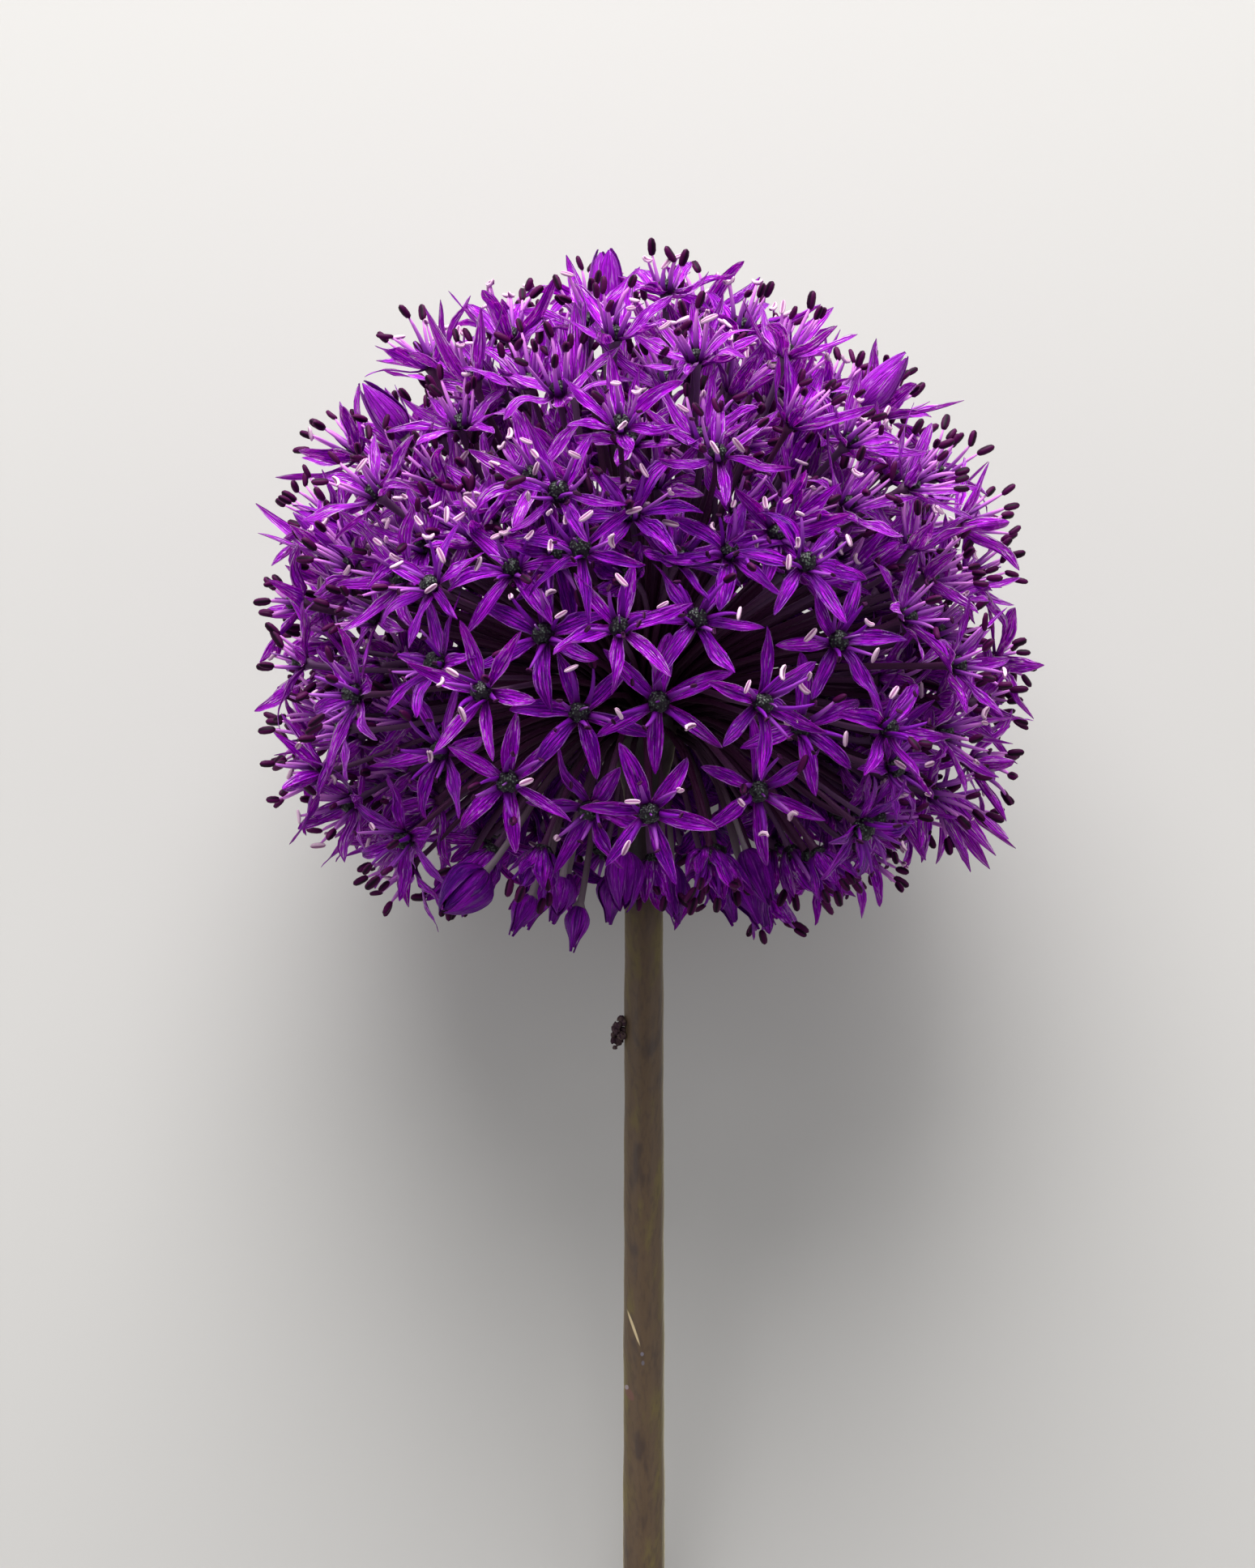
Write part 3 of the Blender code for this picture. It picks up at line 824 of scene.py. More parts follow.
    def nodding(self, which: Array) -> "Florets":
        """Half shut some of the flowers, draw them in a little and let them hang.

        Args:
            which: true for the flowers that nod.

        Returns:
            All the flowers, with those changed.
        """
        down = unit(self.normal + np.array((0, 0, -self.NOD_DROOP)))
        count = len(down)
        cup, spread = np.full(count, self.NOD_CUP), np.full(count, self.NOD_SPREAD)
        changed = Florets.facing(self.centre * self.NOD_SHARE, down, np.zeros(count), cup, spread)
        mix = {name: np.where(across_to(which, values.ndim - 1), vars(changed)[name], values)
               for name, values in vars(self).items()}
        return Florets(**mix)

    def near(self, places: tuple[Place, ...]) -> Array:
        """Find the flower nearest to each of some places.

        Args:
            places: upright places in mm.

        Returns:
            True for those flowers and False for the others.
        """
        distance = np.linalg.norm(self.centre[:, None] / MM - np.array(places), axis=-1)
        chosen = np.zeros(len(self.centre), bool)
        chosen[distance.argmin(axis=0)] = True
        return chosen

    @property
    def age(self) -> Array:
        """Age from 0 to 1: the flowers of the middle belt, before and behind, opened first."""
        way = unit(self.centre)
        return smooth((np.abs(way[:, 1]) - 0.45 * way[:, 2] - 0.1) / 0.65)

    @property
    def room(self) -> Array:
        """Share of the full height that a flower's parts may have inside the head's outline.

        Returns:
            One share for each flower, least at the sides and on the crown.
        """
        beside = (self.HALF_WIDTH - np.abs(self.centre[:, 0])) / self.SIDE_BAND
        above = (self.HEIGHT - self.centre[:, 2]) / self.CROWN_BAND
        return np.clip(np.minimum(beside, above), 0.5, 1)

    def arms(self, turn: Array) -> tuple[Array, Array]:
        """The outward and sideways directions of the six parts of each flower.

        Args:
            turn: (flowers, 6) extra angles about the normal.

        Returns:
            Two arrays of (flowers, 6, 3).
        """
        angle = turn + np.arange(PARTS) * 2 * math.pi / PARTS
        c, s = np.cos(angle)[..., None], np.sin(angle)[..., None]
        first, second = self.first[:, None], self.second[:, None]
        return c * first + s * second, c * second - s * first

    def lines(
        self, outward: Array, sideways: Array, out: Array, up: Array, aside: Array
    ) -> Array:
        """Centre lines of the flowers' parts, from how far each point stands from the heart.

        Args:
            outward: (flowers, 6, 3) directions of the parts.
            sideways: directions square to them and to the normal.
            out: (flowers, 6, stations) distances outward.
            up: distances along the normal.
            aside: distances sideways.

        Returns:
            (flowers, 6, stations, 3) points.
        """
        return (
            self.centre[:, None, None]
            + out[..., None] * outward[:, :, None]
            + up[..., None] * self.normal[:, None, None]
            + aside[..., None] * sideways[:, :, None]
        )


@dataclass(frozen=True)
class HalfOpen:
    """A flower just opening: its place in mm, and the way that it faces."""

    place: Place
    way: Place

    SPREAD = 0.36
    CUP = 5.8 * MM


@dataclass(frozen=True)
class InnerFlowers:
    """Younger flowers on shorter pedicels, which fill the gaps under the outer stars."""

    count: int = 225
    polar_limit: float = math.radians(114)
    front_limit: float = math.radians(61)
    front_band: float = -0.2  # forward of this share of the radius, only those of the crown
    depth: Range = (0.7, 0.94)
    lean: float = 0.32
    shut_share: float = 0.2
    shut_spread: Range = (0.3, 0.6)
    open_spread: float = 0.95
    cup: Range = (0.3, 3.6)  # mm
    shut_cup: float = 6 * MM
    candidates: int = 4000
    seed: int = 7

    def fill(self, outer: Florets) -> Florets:
        """Place flowers one by one, each in the direction that is furthest from all the others.

        The distance from the umbel's centre is a share of that of the nearest outer flower.

        Args:
            outer: the flowers that are already there.

        Returns:
            The inner flowers alone.
        """
        rng = np.random.default_rng(self.seed)
        cosine = rng.uniform(math.cos(self.polar_limit), 1, self.candidates)
        ways = direction(np.arccos(cosine), rng.uniform(0, 2 * math.pi, self.candidates))
        ways = ways[(ways[:, 1] > self.front_band) | (ways[:, 2] > math.cos(self.front_limit))]
        taken = unit(outer.centre)
        nearness = (ways @ taken.T).max(axis=1)
        radius = np.linalg.norm(outer.centre, axis=1)[(ways @ taken.T).argmax(axis=1)]
        picked = []
        for _ in range(self.count):
            best = int(nearness.argmin())
            picked.append(best)
            nearness = np.maximum(nearness, ways @ ways[best])
        way = ways[picked]
        centre = way * (radius[picked] * rng.uniform(*self.depth, self.count))[:, None]
        normal = unit(way + rng.normal(0, self.lean, way.shape))
        is_shut = rng.random(self.count) < self.shut_share
        spread = np.where(is_shut, rng.uniform(*self.shut_spread, self.count), self.open_spread)
        cup = rng.uniform(*self.cup, self.count) * MM + (1 - spread) * self.shut_cup
        return Florets.facing(centre, normal, rng.uniform(0, 1, self.count), cup, spread)


@dataclass
class Umbel:
    """All the flowers of the head: the frame's, with a few changed, and more between them.

    Attributes:
        spent: places in mm of flowers whose tepals have withered.
        hanging: places of flowers that nod and close.
        budded: places of stars that are buds instead.
        half_open: flowers just opening, besides the frame's.
        inner: the younger flowers below the outer ones.
    """

    spent: tuple[Place, ...] = ((-7.5, -39.2, 19.8), (-10.0, -37.0, 26.7), (8.6, -36.5, 30.9))
    hanging: tuple[Place, ...] = (
        (-13.8, -22.9, -17.3), (8.8, -23.1, -17.4), (23.7, -18.1, -17.8),
        (20.3, -5.6, -17.6), (17.3, 14.9, -23.7), (-25.4, 11.4, -20.3),
    )
    budded: tuple[Place, ...] = ((-3.3, -20.8, -20.4), (-22.1, 1.1, -21.6))
    half_open: tuple[HalfOpen, ...] = (
        HalfOpen((1.0, -9.0, -16.5), (0.05, -0.3, -0.95)),
        HalfOpen((8.4, -10.0, -15.5), (0.35, -0.3, -0.9)),
        HalfOpen((-18.2, -9.0, -15.5), (-0.6, -0.1, -0.75)),
        HalfOpen((20.0, -6.0, -16.0), (0.6, -0.1, -0.75)),
    )
    inner: InnerFlowers = InnerFlowers()

    def gathered(self, nodes: dict[str, bpy.types.Object]) -> Florets:
        """Read, change and join the flowers.

        Args:
            nodes: the frame's CAD nodes by name.

        Returns:
            Every open and half-open flower of the head.
        """
        found = Florets.read(nodes)
        outer = found.nodding(found.near(self.hanging))
        outer = outer.chosen(~outer.near(self.budded))
        places = column(self.half_open, "place") * MM
        ways = unit(column(self.half_open, "way"))
        cups, spreads = np.full(len(ways), HalfOpen.CUP), np.full(len(ways), HalfOpen.SPREAD)
        spins = np.linspace(0, 1, len(ways))
        outer = outer.joined(Florets.facing(places, ways, spins, cups, spreads))
        return outer.joined(self.inner.fill(outer))


# --- parts of the flowers ----------------------------------------------------------------

BLADE = np.array((1.0, 0.5, 0.0, -0.5, -1.0, 0.0))  # places across a tepal, and on its back
BACK = np.array((0.0, 0, 0, 0, 0, 1))  # which of them is on the back


@dataclass
class Tepals:
    """The six lance-shaped tepals of each open flower."""

    florets: Florets
    spent: Array  # flowers whose tepals have withered
    reach: float = 9.2 * MM
    root: float = 0.7 * MM
    half_width: float = 1.09 * MM
    waist: float = 0.54  # the root's width beside the widest
    widest: float = 0.45
    keel: float = 0.16 * MM
    channel: float = 0.34
    stations: int = 10
    crease: float = math.radians(75)
    seed: int = 11

    # a range is a least and a most, a chance is a mean and a deviation, and lengths are in mm
    stray: float = math.radians(3.5)
    length_range: Range = (0.86, 1.05)
    curled_shares: Range = (0.8, 0.2)  # of a spent flower's tepals and of a fresh one's
    curl_range: Range = (-2.6, 3.4)
    curl_chance: Range = (-0.35, 0.95)
    twist_range: Range = (-1.5, 1.5)
    twist_chance: Range = (0, 0.48)
    arch_chance: Range = (0.35, 0.4)
    sway_chance: Range = (0, 0.75)
    lift_range: Range = (0.8, 1.25)
    young_lift: Range = (1.2, 5.4)
    full_lift: float = 9.6
    wobble: float = 0.16
    girth_chance: Range = (-0.02, 0.1)
    withered: float = 0.3
    ripple_range: Range = (0.08, 0.34)
    tone_deviations: Range = (0.14, 0.08)  # of a flower and of a tepal

    def build(self, nodes: list[str]) -> list[Piece]:
        """Make six pieces, one for each place in the whorl.

        A tepal's centre line runs out from the heart at r = root + (reach - root) t, and its
        height is the lift times t^1.5, an arch times sin(pi t), a wobble times sin(2.6 pi t),
        and a curl times t^4.  In a half-shut flower the line bows out instead, with
        1 - (1 - t)^2.4 for t, and stands up evenly, so the six make a bell.

        Args:
            nodes: the cyme nodes that the tepals stand for.

        Returns:
            The six pieces.
        """
        rng = np.random.default_rng(self.seed)
        each = (len(self.florets.centre), PARTS)
        t = 0.995 * (1 - (1 - np.linspace(0, 1, self.stations)) ** 1.2)
        shut = across_to(smooth((0.65 - self.florets.spread) / 0.3), 2)
        calm = 1 - 0.75 * shut[..., 0]
        outward, sideways = self.florets.arms(rng.normal(0, self.stray, each))
        reach = self.reach * rng.uniform(*self.length_range, each) * self.florets.spread[:, None]
        curled = rng.random(each) < np.where(self.spent, *self.curled_shares)[:, None]
        curls = rng.uniform(*self.curl_range, each), rng.normal(*self.curl_chance, each)
        curl = np.where(curled, *curls) * MM * calm
        twists = rng.uniform(*self.twist_range, each), rng.normal(*self.twist_chance, each)
        twist = np.where(curled, *twists) * calm
        arch = rng.normal(*self.arch_chance, each) * MM
        sway = rng.normal(*self.sway_chance, each) * MM * calm
        tone = self.tones(rng)
        lift = self.lifts(rng)
        reach = reach * np.sqrt(1 - 0.6 * np.clip(lift / (self.full_lift * MM), 0, 1) ** 2)

        r = self.root + (reach[..., None] - self.root) * (t + shut * (1 - (1 - t) ** 2.4 - t))
        wobble = rng.normal(0, self.wobble, each + (1,)) * MM * np.sin(2.6 * math.pi * t)
        h = lift[..., None] * t ** (1.5 - 0.4 * shut) + arch[..., None] * np.sin(math.pi * t)
        h = h + curl[..., None] * t**4 + wobble
        path = self.florets.lines(outward, sideways, r, h, sway[..., None] * t**2)
        x, y = self.sections(t, shut, twist, rng)
        skin = TepalSkin().material()
        pieces = []
        for k in range(PARTS):
            points = sweep(path[:, k], sideways[:, k, None], x[:, k], y[:, k])
            fields = {"along": t[:, None], "across": BLADE, "tone": across_to(tone[:, k], 2)}
            piece = add_piece(f"tepals_{k + 1}", points, fields, skin, nodes, self.crease)
            pieces.append(piece)
        return pieces

    def tones(self, rng: np.random.Generator) -> Array:
        """How bright each tepal is: young flowers are brighter, and those of the crown deeper.

        Args:
            rng: the source of chance.

        Returns:
            (flowers, 6) tones from 0 to 1.
        """
        # the crown's tepals are deeper: partly painted shade, which tones down the strong light
        # there
        crown = smooth((self.florets.centre[:, 2] / MM - 41) / 12)
        bright = 0.92 - (0.74 * self.florets.age + 0.3 * crown)[:, None]
        of_flower, of_tepal = self.tone_deviations
        count = len(crown)
        chance = bright + rng.normal(0, of_flower, (count, 1))
        return np.clip(chance + rng.normal(0, of_tepal, (count, PARTS)), 0, 1)

    def lifts(self, rng: np.random.Generator) -> Array:
        """How far each tip stands above the heart: the cup, and more in a young flower.

        Args:
            rng: the source of chance.

        Returns:
            (flowers, 6) heights.
        """
        count = len(self.florets.centre)
        young = (1 - self.florets.age[:, None]) * self.florets.room[:, None] ** 2
        cup = (self.florets.cup * self.florets.room)[:, None]
        lift = cup * rng.uniform(*self.lift_range, (count, PARTS))
        return lift + young * rng.uniform(*self.young_lift, (count, 1)) * MM

    def sections(
        self, t: Array, shut: Array, twist: Array, rng: np.random.Generator
    ) -> tuple[Array, Array]:
        """The tepals' cross-sections.

        The half width is a waist that swells to its widest by a smooth step, times
        (1 - t^3.2)^0.7 towards the point.  The section is a channel, y = depth times half
        width times s^1.5, where chance makes the depth 0.2 to 3.4 of the usual channel.  Its
        edge ripples as s^3 sin(3.2 pi t), it has a keel behind, and it twists with t^2.

        Args:
            t: places along the tepal.
            shut: how far each flower is shut.
            twist: (flowers, 6) turns of the tips.
            rng: the source of chance.

        Returns:
            Two (flowers, 6, stations, 6) arrays, across the tepal and square to it.
        """
        each = twist.shape
        s = BLADE
        swell = self.waist + (1 - self.waist) * smooth(t / self.widest)
        narrow = across_to(self.spent, 1) * self.withered
        girth = (1 - narrow + rng.normal(*self.girth_chance, each))[..., None] * (1 + 0.25 * shut)
        width = (self.half_width * swell * (1 - t**3.2) ** 0.7 * girth)[..., None]
        phase = rng.uniform(0, 2 * math.pi, each + (1, 1)) + 1.3 * s
        wave = np.sin(2 * math.pi * 1.6 * t[:, None] + phase)
        ripple = rng.uniform(*self.ripple_range, each + (1, 1)) * wave
        hollow = self.channel * (0.2 + 3.2 * rng.random(each + (1, 1)) ** 2)
        x = width * s
        y = width * (hollow * np.abs(s) ** 1.5 + ripple * np.abs(s) ** 3)
        y = y - BACK * self.keel * (1 - 0.7 * t[:, None])
        turn = twist[..., None, None] * t[:, None] ** 2
        return x * np.cos(turn) - y * np.sin(turn), x * np.sin(turn) + y * np.cos(turn)


@dataclass(frozen=True)
class Anther:
    """How an anther of one state looks.

    Attributes:
        skin: its finish.
        long: its length beside a closed one, because it shrinks as it dries.
        wide: its width beside a closed one.
        seat: how far along itself it stands on the filament, as a share of its half length.
        groove: how deep the seam between its lobes is.
    """

    skin: AntherSkin
    long: float
    wide: float
    seat: float
    groove: float


class Ripeness(Enum):
    """State of an anther."""

    CLOSED = Anther(
        AntherSkin("allium_anther_closed", "#4C0842", "#180418", 0.5), 1.0, 1.0, 0.75, 0.3
    )
    OPEN = Anther(
        AntherSkin("allium_anther_open", "#EEC6E0", "#8E5684", 0.7), 0.96, 0.7, 0.1, 0.55
    )
    SHED = Anther(
        AntherSkin("allium_anther_shed", "#4A1448", "#22061E", 0.6), 0.45, 0.5, 0.1, 0.55
    )


@dataclass
class Stamens:
    """Six stamens in each open flower: a filament on a broad base, with an anther on its tip."""

    florets: Florets
    base: float = 0.85 * MM
    base_half_width: float = 0.5 * MM
    shaft_half_width: float = 0.25 * MM
    foot_height: float = 0.25 * MM
    length: Range = (4.0 * MM, 5.8 * MM)
    young_growth: float = 0.7 * MM
    rise: Range = (math.radians(36), math.radians(72))
    steepest: float = math.radians(80)
    young_rise: float = 0.66  # a young flower's stand this share of the way to the steepest
    stray: float = math.radians(6)
    bow: Range = (0.2, 0.3)  # mean and deviation in mm
    sway: float = 0.7
    anther_half_length: float = 1.08 * MM
    anther_half_width: float = 0.49 * MM
    anther_sizes: Range = (0.85, 1.12)
    lean_open: Range = (0.9, 1.6)  # from the filament's own way, in radians
    lean_closed: Range = (0.05, 0.7)
    shut_spread: float = 0.5  # a flower less open than this keeps its anthers closed
    curled_share: float = 0.35
    rings: int = 6
    sides: int = 6
    anther_sides: int = 8
    seed: int = 23

    def build(self, nodes: list[str]) -> list[Piece]:
        """Make the filaments, and the closed, open and shed anthers.

        A filament leaves the heart at its base radius and climbs at its rise angle, bowed by
        a parabola 4q(1 - q) and swayed by q^2.  Its half width falls as (1 - q)^3 from the
        broad base to the shaft's, and by half again, as q^6, at the tip.

        Args:
            nodes: the cyme nodes that the stamens stand for.

        Returns:
            The four pieces.
        """
        rng = np.random.default_rng(self.seed)
        each = (len(self.florets.centre), PARTS)
        q = np.linspace(0, 1, self.rings)
        outward, sideways = self.florets.arms(rng.normal(0, self.stray, each))
        young = 1 - self.florets.age[:, None]
        length = rng.uniform(*self.length, each) + young * self.young_growth
        length = length * self.florets.room[:, None]
        rise = rng.uniform(*self.rise, each)
        upright = np.maximum(1 - self.florets.spread[:, None], self.young_rise * young)
        rise = rise + (self.steepest - rise) * upright
        bow = rng.normal(*self.bow, each) * MM
        sway = rng.normal(0, self.sway, each) * MM
        r = self.base + across_to(length * np.cos(rise), 1) * q
        h = self.foot_height + across_to(length * np.sin(rise), 1) * q
        h = h + across_to(bow, 1) * 4 * q * (1 - q)
        path = self.florets.lines(outward, sideways, r, h, across_to(sway, 1) * q**2)
        path = path.reshape(-1, self.rings, 3)
        side = sideways.reshape(-1, 1, 3)
        shaft = self.shaft_half_width * (1 - 0.5 * q**6)
        broad = shaft + (self.base_half_width - self.shaft_half_width) * (1 - q) ** 3
        tone = np.clip(young * 0.95 + rng.normal(0.04, 0.14, each), 0, 1).ravel()
        # young filaments pale towards the tip: partly their own colour, partly painted light on the
        # tips
        filament = StalkSkin("allium_filament", "#3E0444", "#780EA0", "#EC90EC")
        c, s = ring(self.sides)
        points = sweep(path, side, broad[:, None] * c, 0.85 * shaft[:, None] * s)
        fields = {"along": q[:, None], "tone": across_to(tone, 2)}
        made = add_piece("filaments", points, fields, filament.material(), nodes)
        return [made, *self.anthers(path, side[:, 0], rng, nodes)]

    def states(self, rng: np.random.Generator) -> Array:
        """The ripeness of each anther, which goes by its flower's age.

        The chance that an anther is open grows with age and towards the crown, so most are
        closed in a young flower, and half of the oldest flowers' are shed.  A half-shut flower
        keeps all of its own closed.

        Args:
            rng: the source of chance.

        Returns:
            The name of a Ripeness for each anther.
        """
        age = self.florets.age
        crown = smooth((self.florets.centre[:, 2] / MM - 30) / 16)
        own = np.clip(0.14 + 0.6 * age + 0.34 * crown + rng.normal(0, 0.22, len(age)), 0.04, 0.9)
        own = np.where(self.florets.spread < self.shut_spread, 0, own)
        is_open = rng.random((len(age), PARTS)) < own[:, None]
        is_shed = (rng.random((len(age), PARTS)) < 0.5 * age[:, None]) & (own > 0)[:, None]
        found = np.where(is_open, Ripeness.OPEN.name, Ripeness.CLOSED.name)
        return np.where(is_shed, Ripeness.SHED.name, found).ravel()

    def anthers(
        self, path: Array, side: Array, rng: np.random.Generator, nodes: list[str]
    ) -> list[Piece]:
        """Set an anther on each filament: an oblong of two lobes with a seam between them.

        Its centre line is an arc.  The outline's half width is (1 - |q|^3.4)^0.5, and the
        section pulls in over the seam by the share g * sin^8.

        Args:
            path: (n, rings, 3) filament centre lines.
            side: (n, 3) sideways directions of the filaments.
            rng: the source of chance.
            nodes: the cyme nodes that they stand for.

        Returns:
            One piece for each state.
        """
        count = len(path)
        tip = path[:, -1]
        climb = unit(path[:, -1] - path[:, -2])
        other = unit(np.cross(climb, side))
        way = rng.uniform(0, 2 * math.pi, (count, 1))
        level = unit(np.cos(way) * side + np.sin(way) * other)
        states = self.states(rng)
        is_open = states != Ripeness.CLOSED.name
        leans = rng.uniform(*self.lean_open, count), rng.uniform(*self.lean_closed, count)
        lean = np.where(is_open, *leans)[:, None]
        axis = np.cos(lean) * climb + np.sin(lean) * level
        depth = unit(np.cos(lean) * level - np.sin(lean) * climb)
        q = np.array((-0.985, -0.8, -0.35, 0.35, 0.8, 0.985))
        outline = (1 - np.abs(q) ** 3.4) ** 0.5
        c, s = ring(self.anther_sides)
        pieces = []
        for ripe in Ripeness:
            look = ripe.value
            chosen = states == ripe.name
            bend = self.bends(ripe, int(chosen.sum()), rng)[:, None]
            size = rng.uniform(*self.anther_sizes, (len(bend), 1))
            turned = q * bend
            half = self.anther_half_length * size * look.long
            curve = np.where(bend == 0, 1, bend)
            run = half * np.where(np.abs(turned) > 1e-4, np.sin(turned) / curve, q)
            drop = half * (1 - np.cos(turned)) / curve
            ahead, deep = axis[chosen], depth[chosen]
            seat = tip[chosen] + ahead * look.seat * half
            line = seat[:, None] + run[..., None] * ahead[:, None] - drop[..., None] * deep[:, None]
            width = look.wide * self.anther_half_width * outline[:, None] * size[..., None]
            across = np.cross(ahead, deep)[:, None]
            points = sweep(line, across, width * c, width * s * (1 - look.groove * s**8))
            fields = {"across": np.abs(c), "tone": rng.random((len(bend), 1, 1))}
            name = f"anthers_{ripe.name.lower()}"
            pieces.append(add_piece(name, points, fields, look.skin.material(), nodes))
        return pieces

    def bends(self, ripe: Ripeness, count: int, rng: np.random.Generator) -> Array:
        """Half the angle that each anther curls through: some open and shed ones curl right up.

        Args:
            ripe: their state.
            count: how many there are.
            rng: the source of chance.

        Returns:
            The angles in radians.
        """
        if ripe is Ripeness.CLOSED:
            return rng.normal(0.05, 0.12, count)
        curled = rng.random(count) < self.curled_share
        return np.where(curled, rng.uniform(0.9, 1.5, count), rng.normal(0.15, 0.15, count))


@dataclass
class Ovaries:
    """The warty ovary in the heart of each open flower, with its style."""

    florets: Florets
    radius: float = 1.2 * MM
    rise: float = 0.75 * MM
    lobes: float = 0.07
    wart: float = 0.13
    young_size: float = 0.94
    growth: float = 0.2  # how much larger an old flower's is
    sizes: Range = (0.88, 1.1)
    rings: int = 6
    sides: int = 9
    style_length: float = 2.6 * MM
    style_radius: float = 0.16 * MM
    style_lengths: Range = (0.5, 1.1)  # beside the full length
    style_lean: float = 0.25
    style_rings: int = 4
    style_sides: int = 5
    seed: int = 31

    def build(self, nodes: list[str]) -> list[Piece]:
        """Make the ovaries and styles.

        An ovary is a ball, radius times (1 + lobes * cos 3a) at angle a, with each point
        pushed out or in by a share of up to the wart height.  A style is a thin tube that
        leans more as it climbs.

        Args:
            nodes: the cyme nodes that they stand for.

        Returns:
            The two pieces.
        """
        rng = np.random.default_rng(self.seed)
        count = len(self.florets.centre)
        normal, side = self.florets.normal[:, None], self.florets.first[:, None]
        around = np.arange(self.sides) * 2 * math.pi / self.sides
        grown = self.young_size + self.growth * across_to(self.florets.age, 2)
        size = self.radius * grown * rng.uniform(*self.sizes, (count, 1, 1))
        rough = rng.uniform(-1, 1, (count, self.rings, self.sides)) * self.wart
        bumps = 1 + self.lobes * np.cos(3 * around) + rough
        base = self.florets.centre[:, None] + self.rise * normal
        path, radius = ball(base, normal, size, self.rings)
        points = round_tubes(path, side, radius * bumps, self.sides)
        ovaries = add_piece("ovaries", points, {}, OvarySkin().material(), nodes)
        q = np.linspace(0, 1, self.style_rings)
        lean = rng.normal(0, self.style_lean, (count, 1, 1)) * side
        length = self.style_length * rng.uniform(*self.style_lengths, (count, 1, 1))
        path = base + size * 0.9 * normal + q[:, None] * length * (normal + lean * q[:, None])
        width = (self.style_radius * (1 - 0.35 * q))[:, None]
        points = round_tubes(path, side, width, self.style_sides)
        fields = {"along": q[:, None], "tone": rng.random((count, 1, 1))}
        skin = StalkSkin("allium_style", "#3E0A44", "#6A1484", "#B070C8")
        return [ovaries, add_piece("styles", points, fields, skin.material(), nodes)]


@dataclass
class Receptacle:
    """The knob on top of the scape that every pedicel leaves."""

    radius: float = 5.0 * MM
    seat_limit: float = math.radians(114)
    umbel_limit: float = math.radians(156)
    sunk: float = 0.94  # a pedicel starts this share of the radius from the middle

    def feet(self, heads: Array) -> tuple[Array, Array]:
        """Where the pedicels of flowers start: their polar angles drawn in to the knob's.

        Args:
            heads: (n, 3) places of the flowers.

        Returns:
            The starts and the outward directions there.
        """
        toward = unit(heads)
        polar = np.arccos(toward[:, 2]) * self.seat_limit / self.umbel_limit
        seat = direction(polar, np.arctan2(toward[:, 1], toward[:, 0]))
        return seat * self.radius * self.sunk, seat


@dataclass
class Pedicels:
    """The thin stalks between the receptacle and the flowers."""

    receptacle: Receptacle
    radius: float = 0.4 * MM
    thicknesses: Range = (0.85, 1.1)
    flare: float = 0.62 * MM
    flare_length: float = 0.08  # share of the stalk
    leave: float = 0.3  # how far its ends hold their directions, as shares of its span
    arrive: float = 0.2
    stray: float = 0.6  # mm
    askew: Place = (0.2, 0.3, 0.93)  # no pedicel leaves quite this way
    rings: int = 9
    sides: int = 6
    seed: int = 41

    def build(
        self, name: str, heads: Array, facing: Array, nodes: list[str], skin: StalkSkin
    ) -> list[Piece]:
        """Make one piece of pedicels.

        Each is a cubic Bezier curve that leaves square to the receptacle and arrives along
        the flower's axis, and swells over its last part into the flower's base.

        Args:
            name: the piece's name.
            heads: (n, 3) points where the flowers' bases are.
            facing: (n, 3) directions of the flowers.
            nodes: the cyme nodes that the pedicels stand for.
            skin: their finish.

        Returns:
            The piece, in a list.
        """
        rng = np.random.default_rng(self.seed)
        start, seat = self.receptacle.feet(heads)
        span = np.linalg.norm(heads - start, axis=1, keepdims=True)
        leave = start + seat * span * self.leave
        arrive = heads - facing * span * self.arrive + rng.normal(0, self.stray, heads.shape) * MM
        q = 1 - (1 - np.linspace(0, 1, self.rings)) ** 1.5
        p = q[None, :, None]
        path = (
            (1 - p) ** 3 * start[:, None]
            + 3 * (1 - p) ** 2 * p * leave[:, None]
            + 3 * (1 - p) * p**2 * arrive[:, None]
            + p**3 * heads[:, None]
        )
        thick = rng.uniform(*self.thicknesses, (len(heads), 1, 1))
        late = smooth((q - (1 - self.flare_length)) / self.flare_length)[:, None]
        radius = thick * (self.radius + self.flare * late**2)
        side = unit(np.cross(seat, np.array(self.askew)))[:, None]
        points = round_tubes(path, side, radius, self.sides)
        fields = {"along": q[:, None], "tone": rng.random((len(heads), 1, 1))}
        return [add_piece(name, points, fields, skin.material(), nodes)]


class Outline(Enum):
    """A bud's shape, as shares of its half width at even steps from its base to its tip."""

    PEAR = (0.25, 0.64, 0.94, 1.0, 0.9, 0.66, 0.42, 0.32, 0.22)
    EGG = (0.34, 0.78, 0.98, 1.0, 0.95, 0.83, 0.65, 0.4, 0.06)
    TULIP = (0.36, 0.8, 0.98, 1.0, 0.92, 0.8, 0.66, 0.5, 0.22)
    GOBLET = (0.36, 0.8, 0.98, 1.0, 0.96, 0.9, 0.81, 0.68, 0.46)

    @property
    def blunt(self) -> float:
        """Least share of its width that a tepal keeps at its tip: a pear bud has a cut snout."""
        return 0.65 if self is Outline.PEAR else 0.15


@dataclass(frozen=True)
class BudPlan:
    """One bud: its centre in mm, the way that it points, length and width in mm, and shape.

    Its tone runs from 0, dark violet, to 1, bright magenta.
    """

    centre: Place
    pointing: Place
    length: float
    width: float
    outline: Outline = Outline.PEAR
    tone: float = 0.25


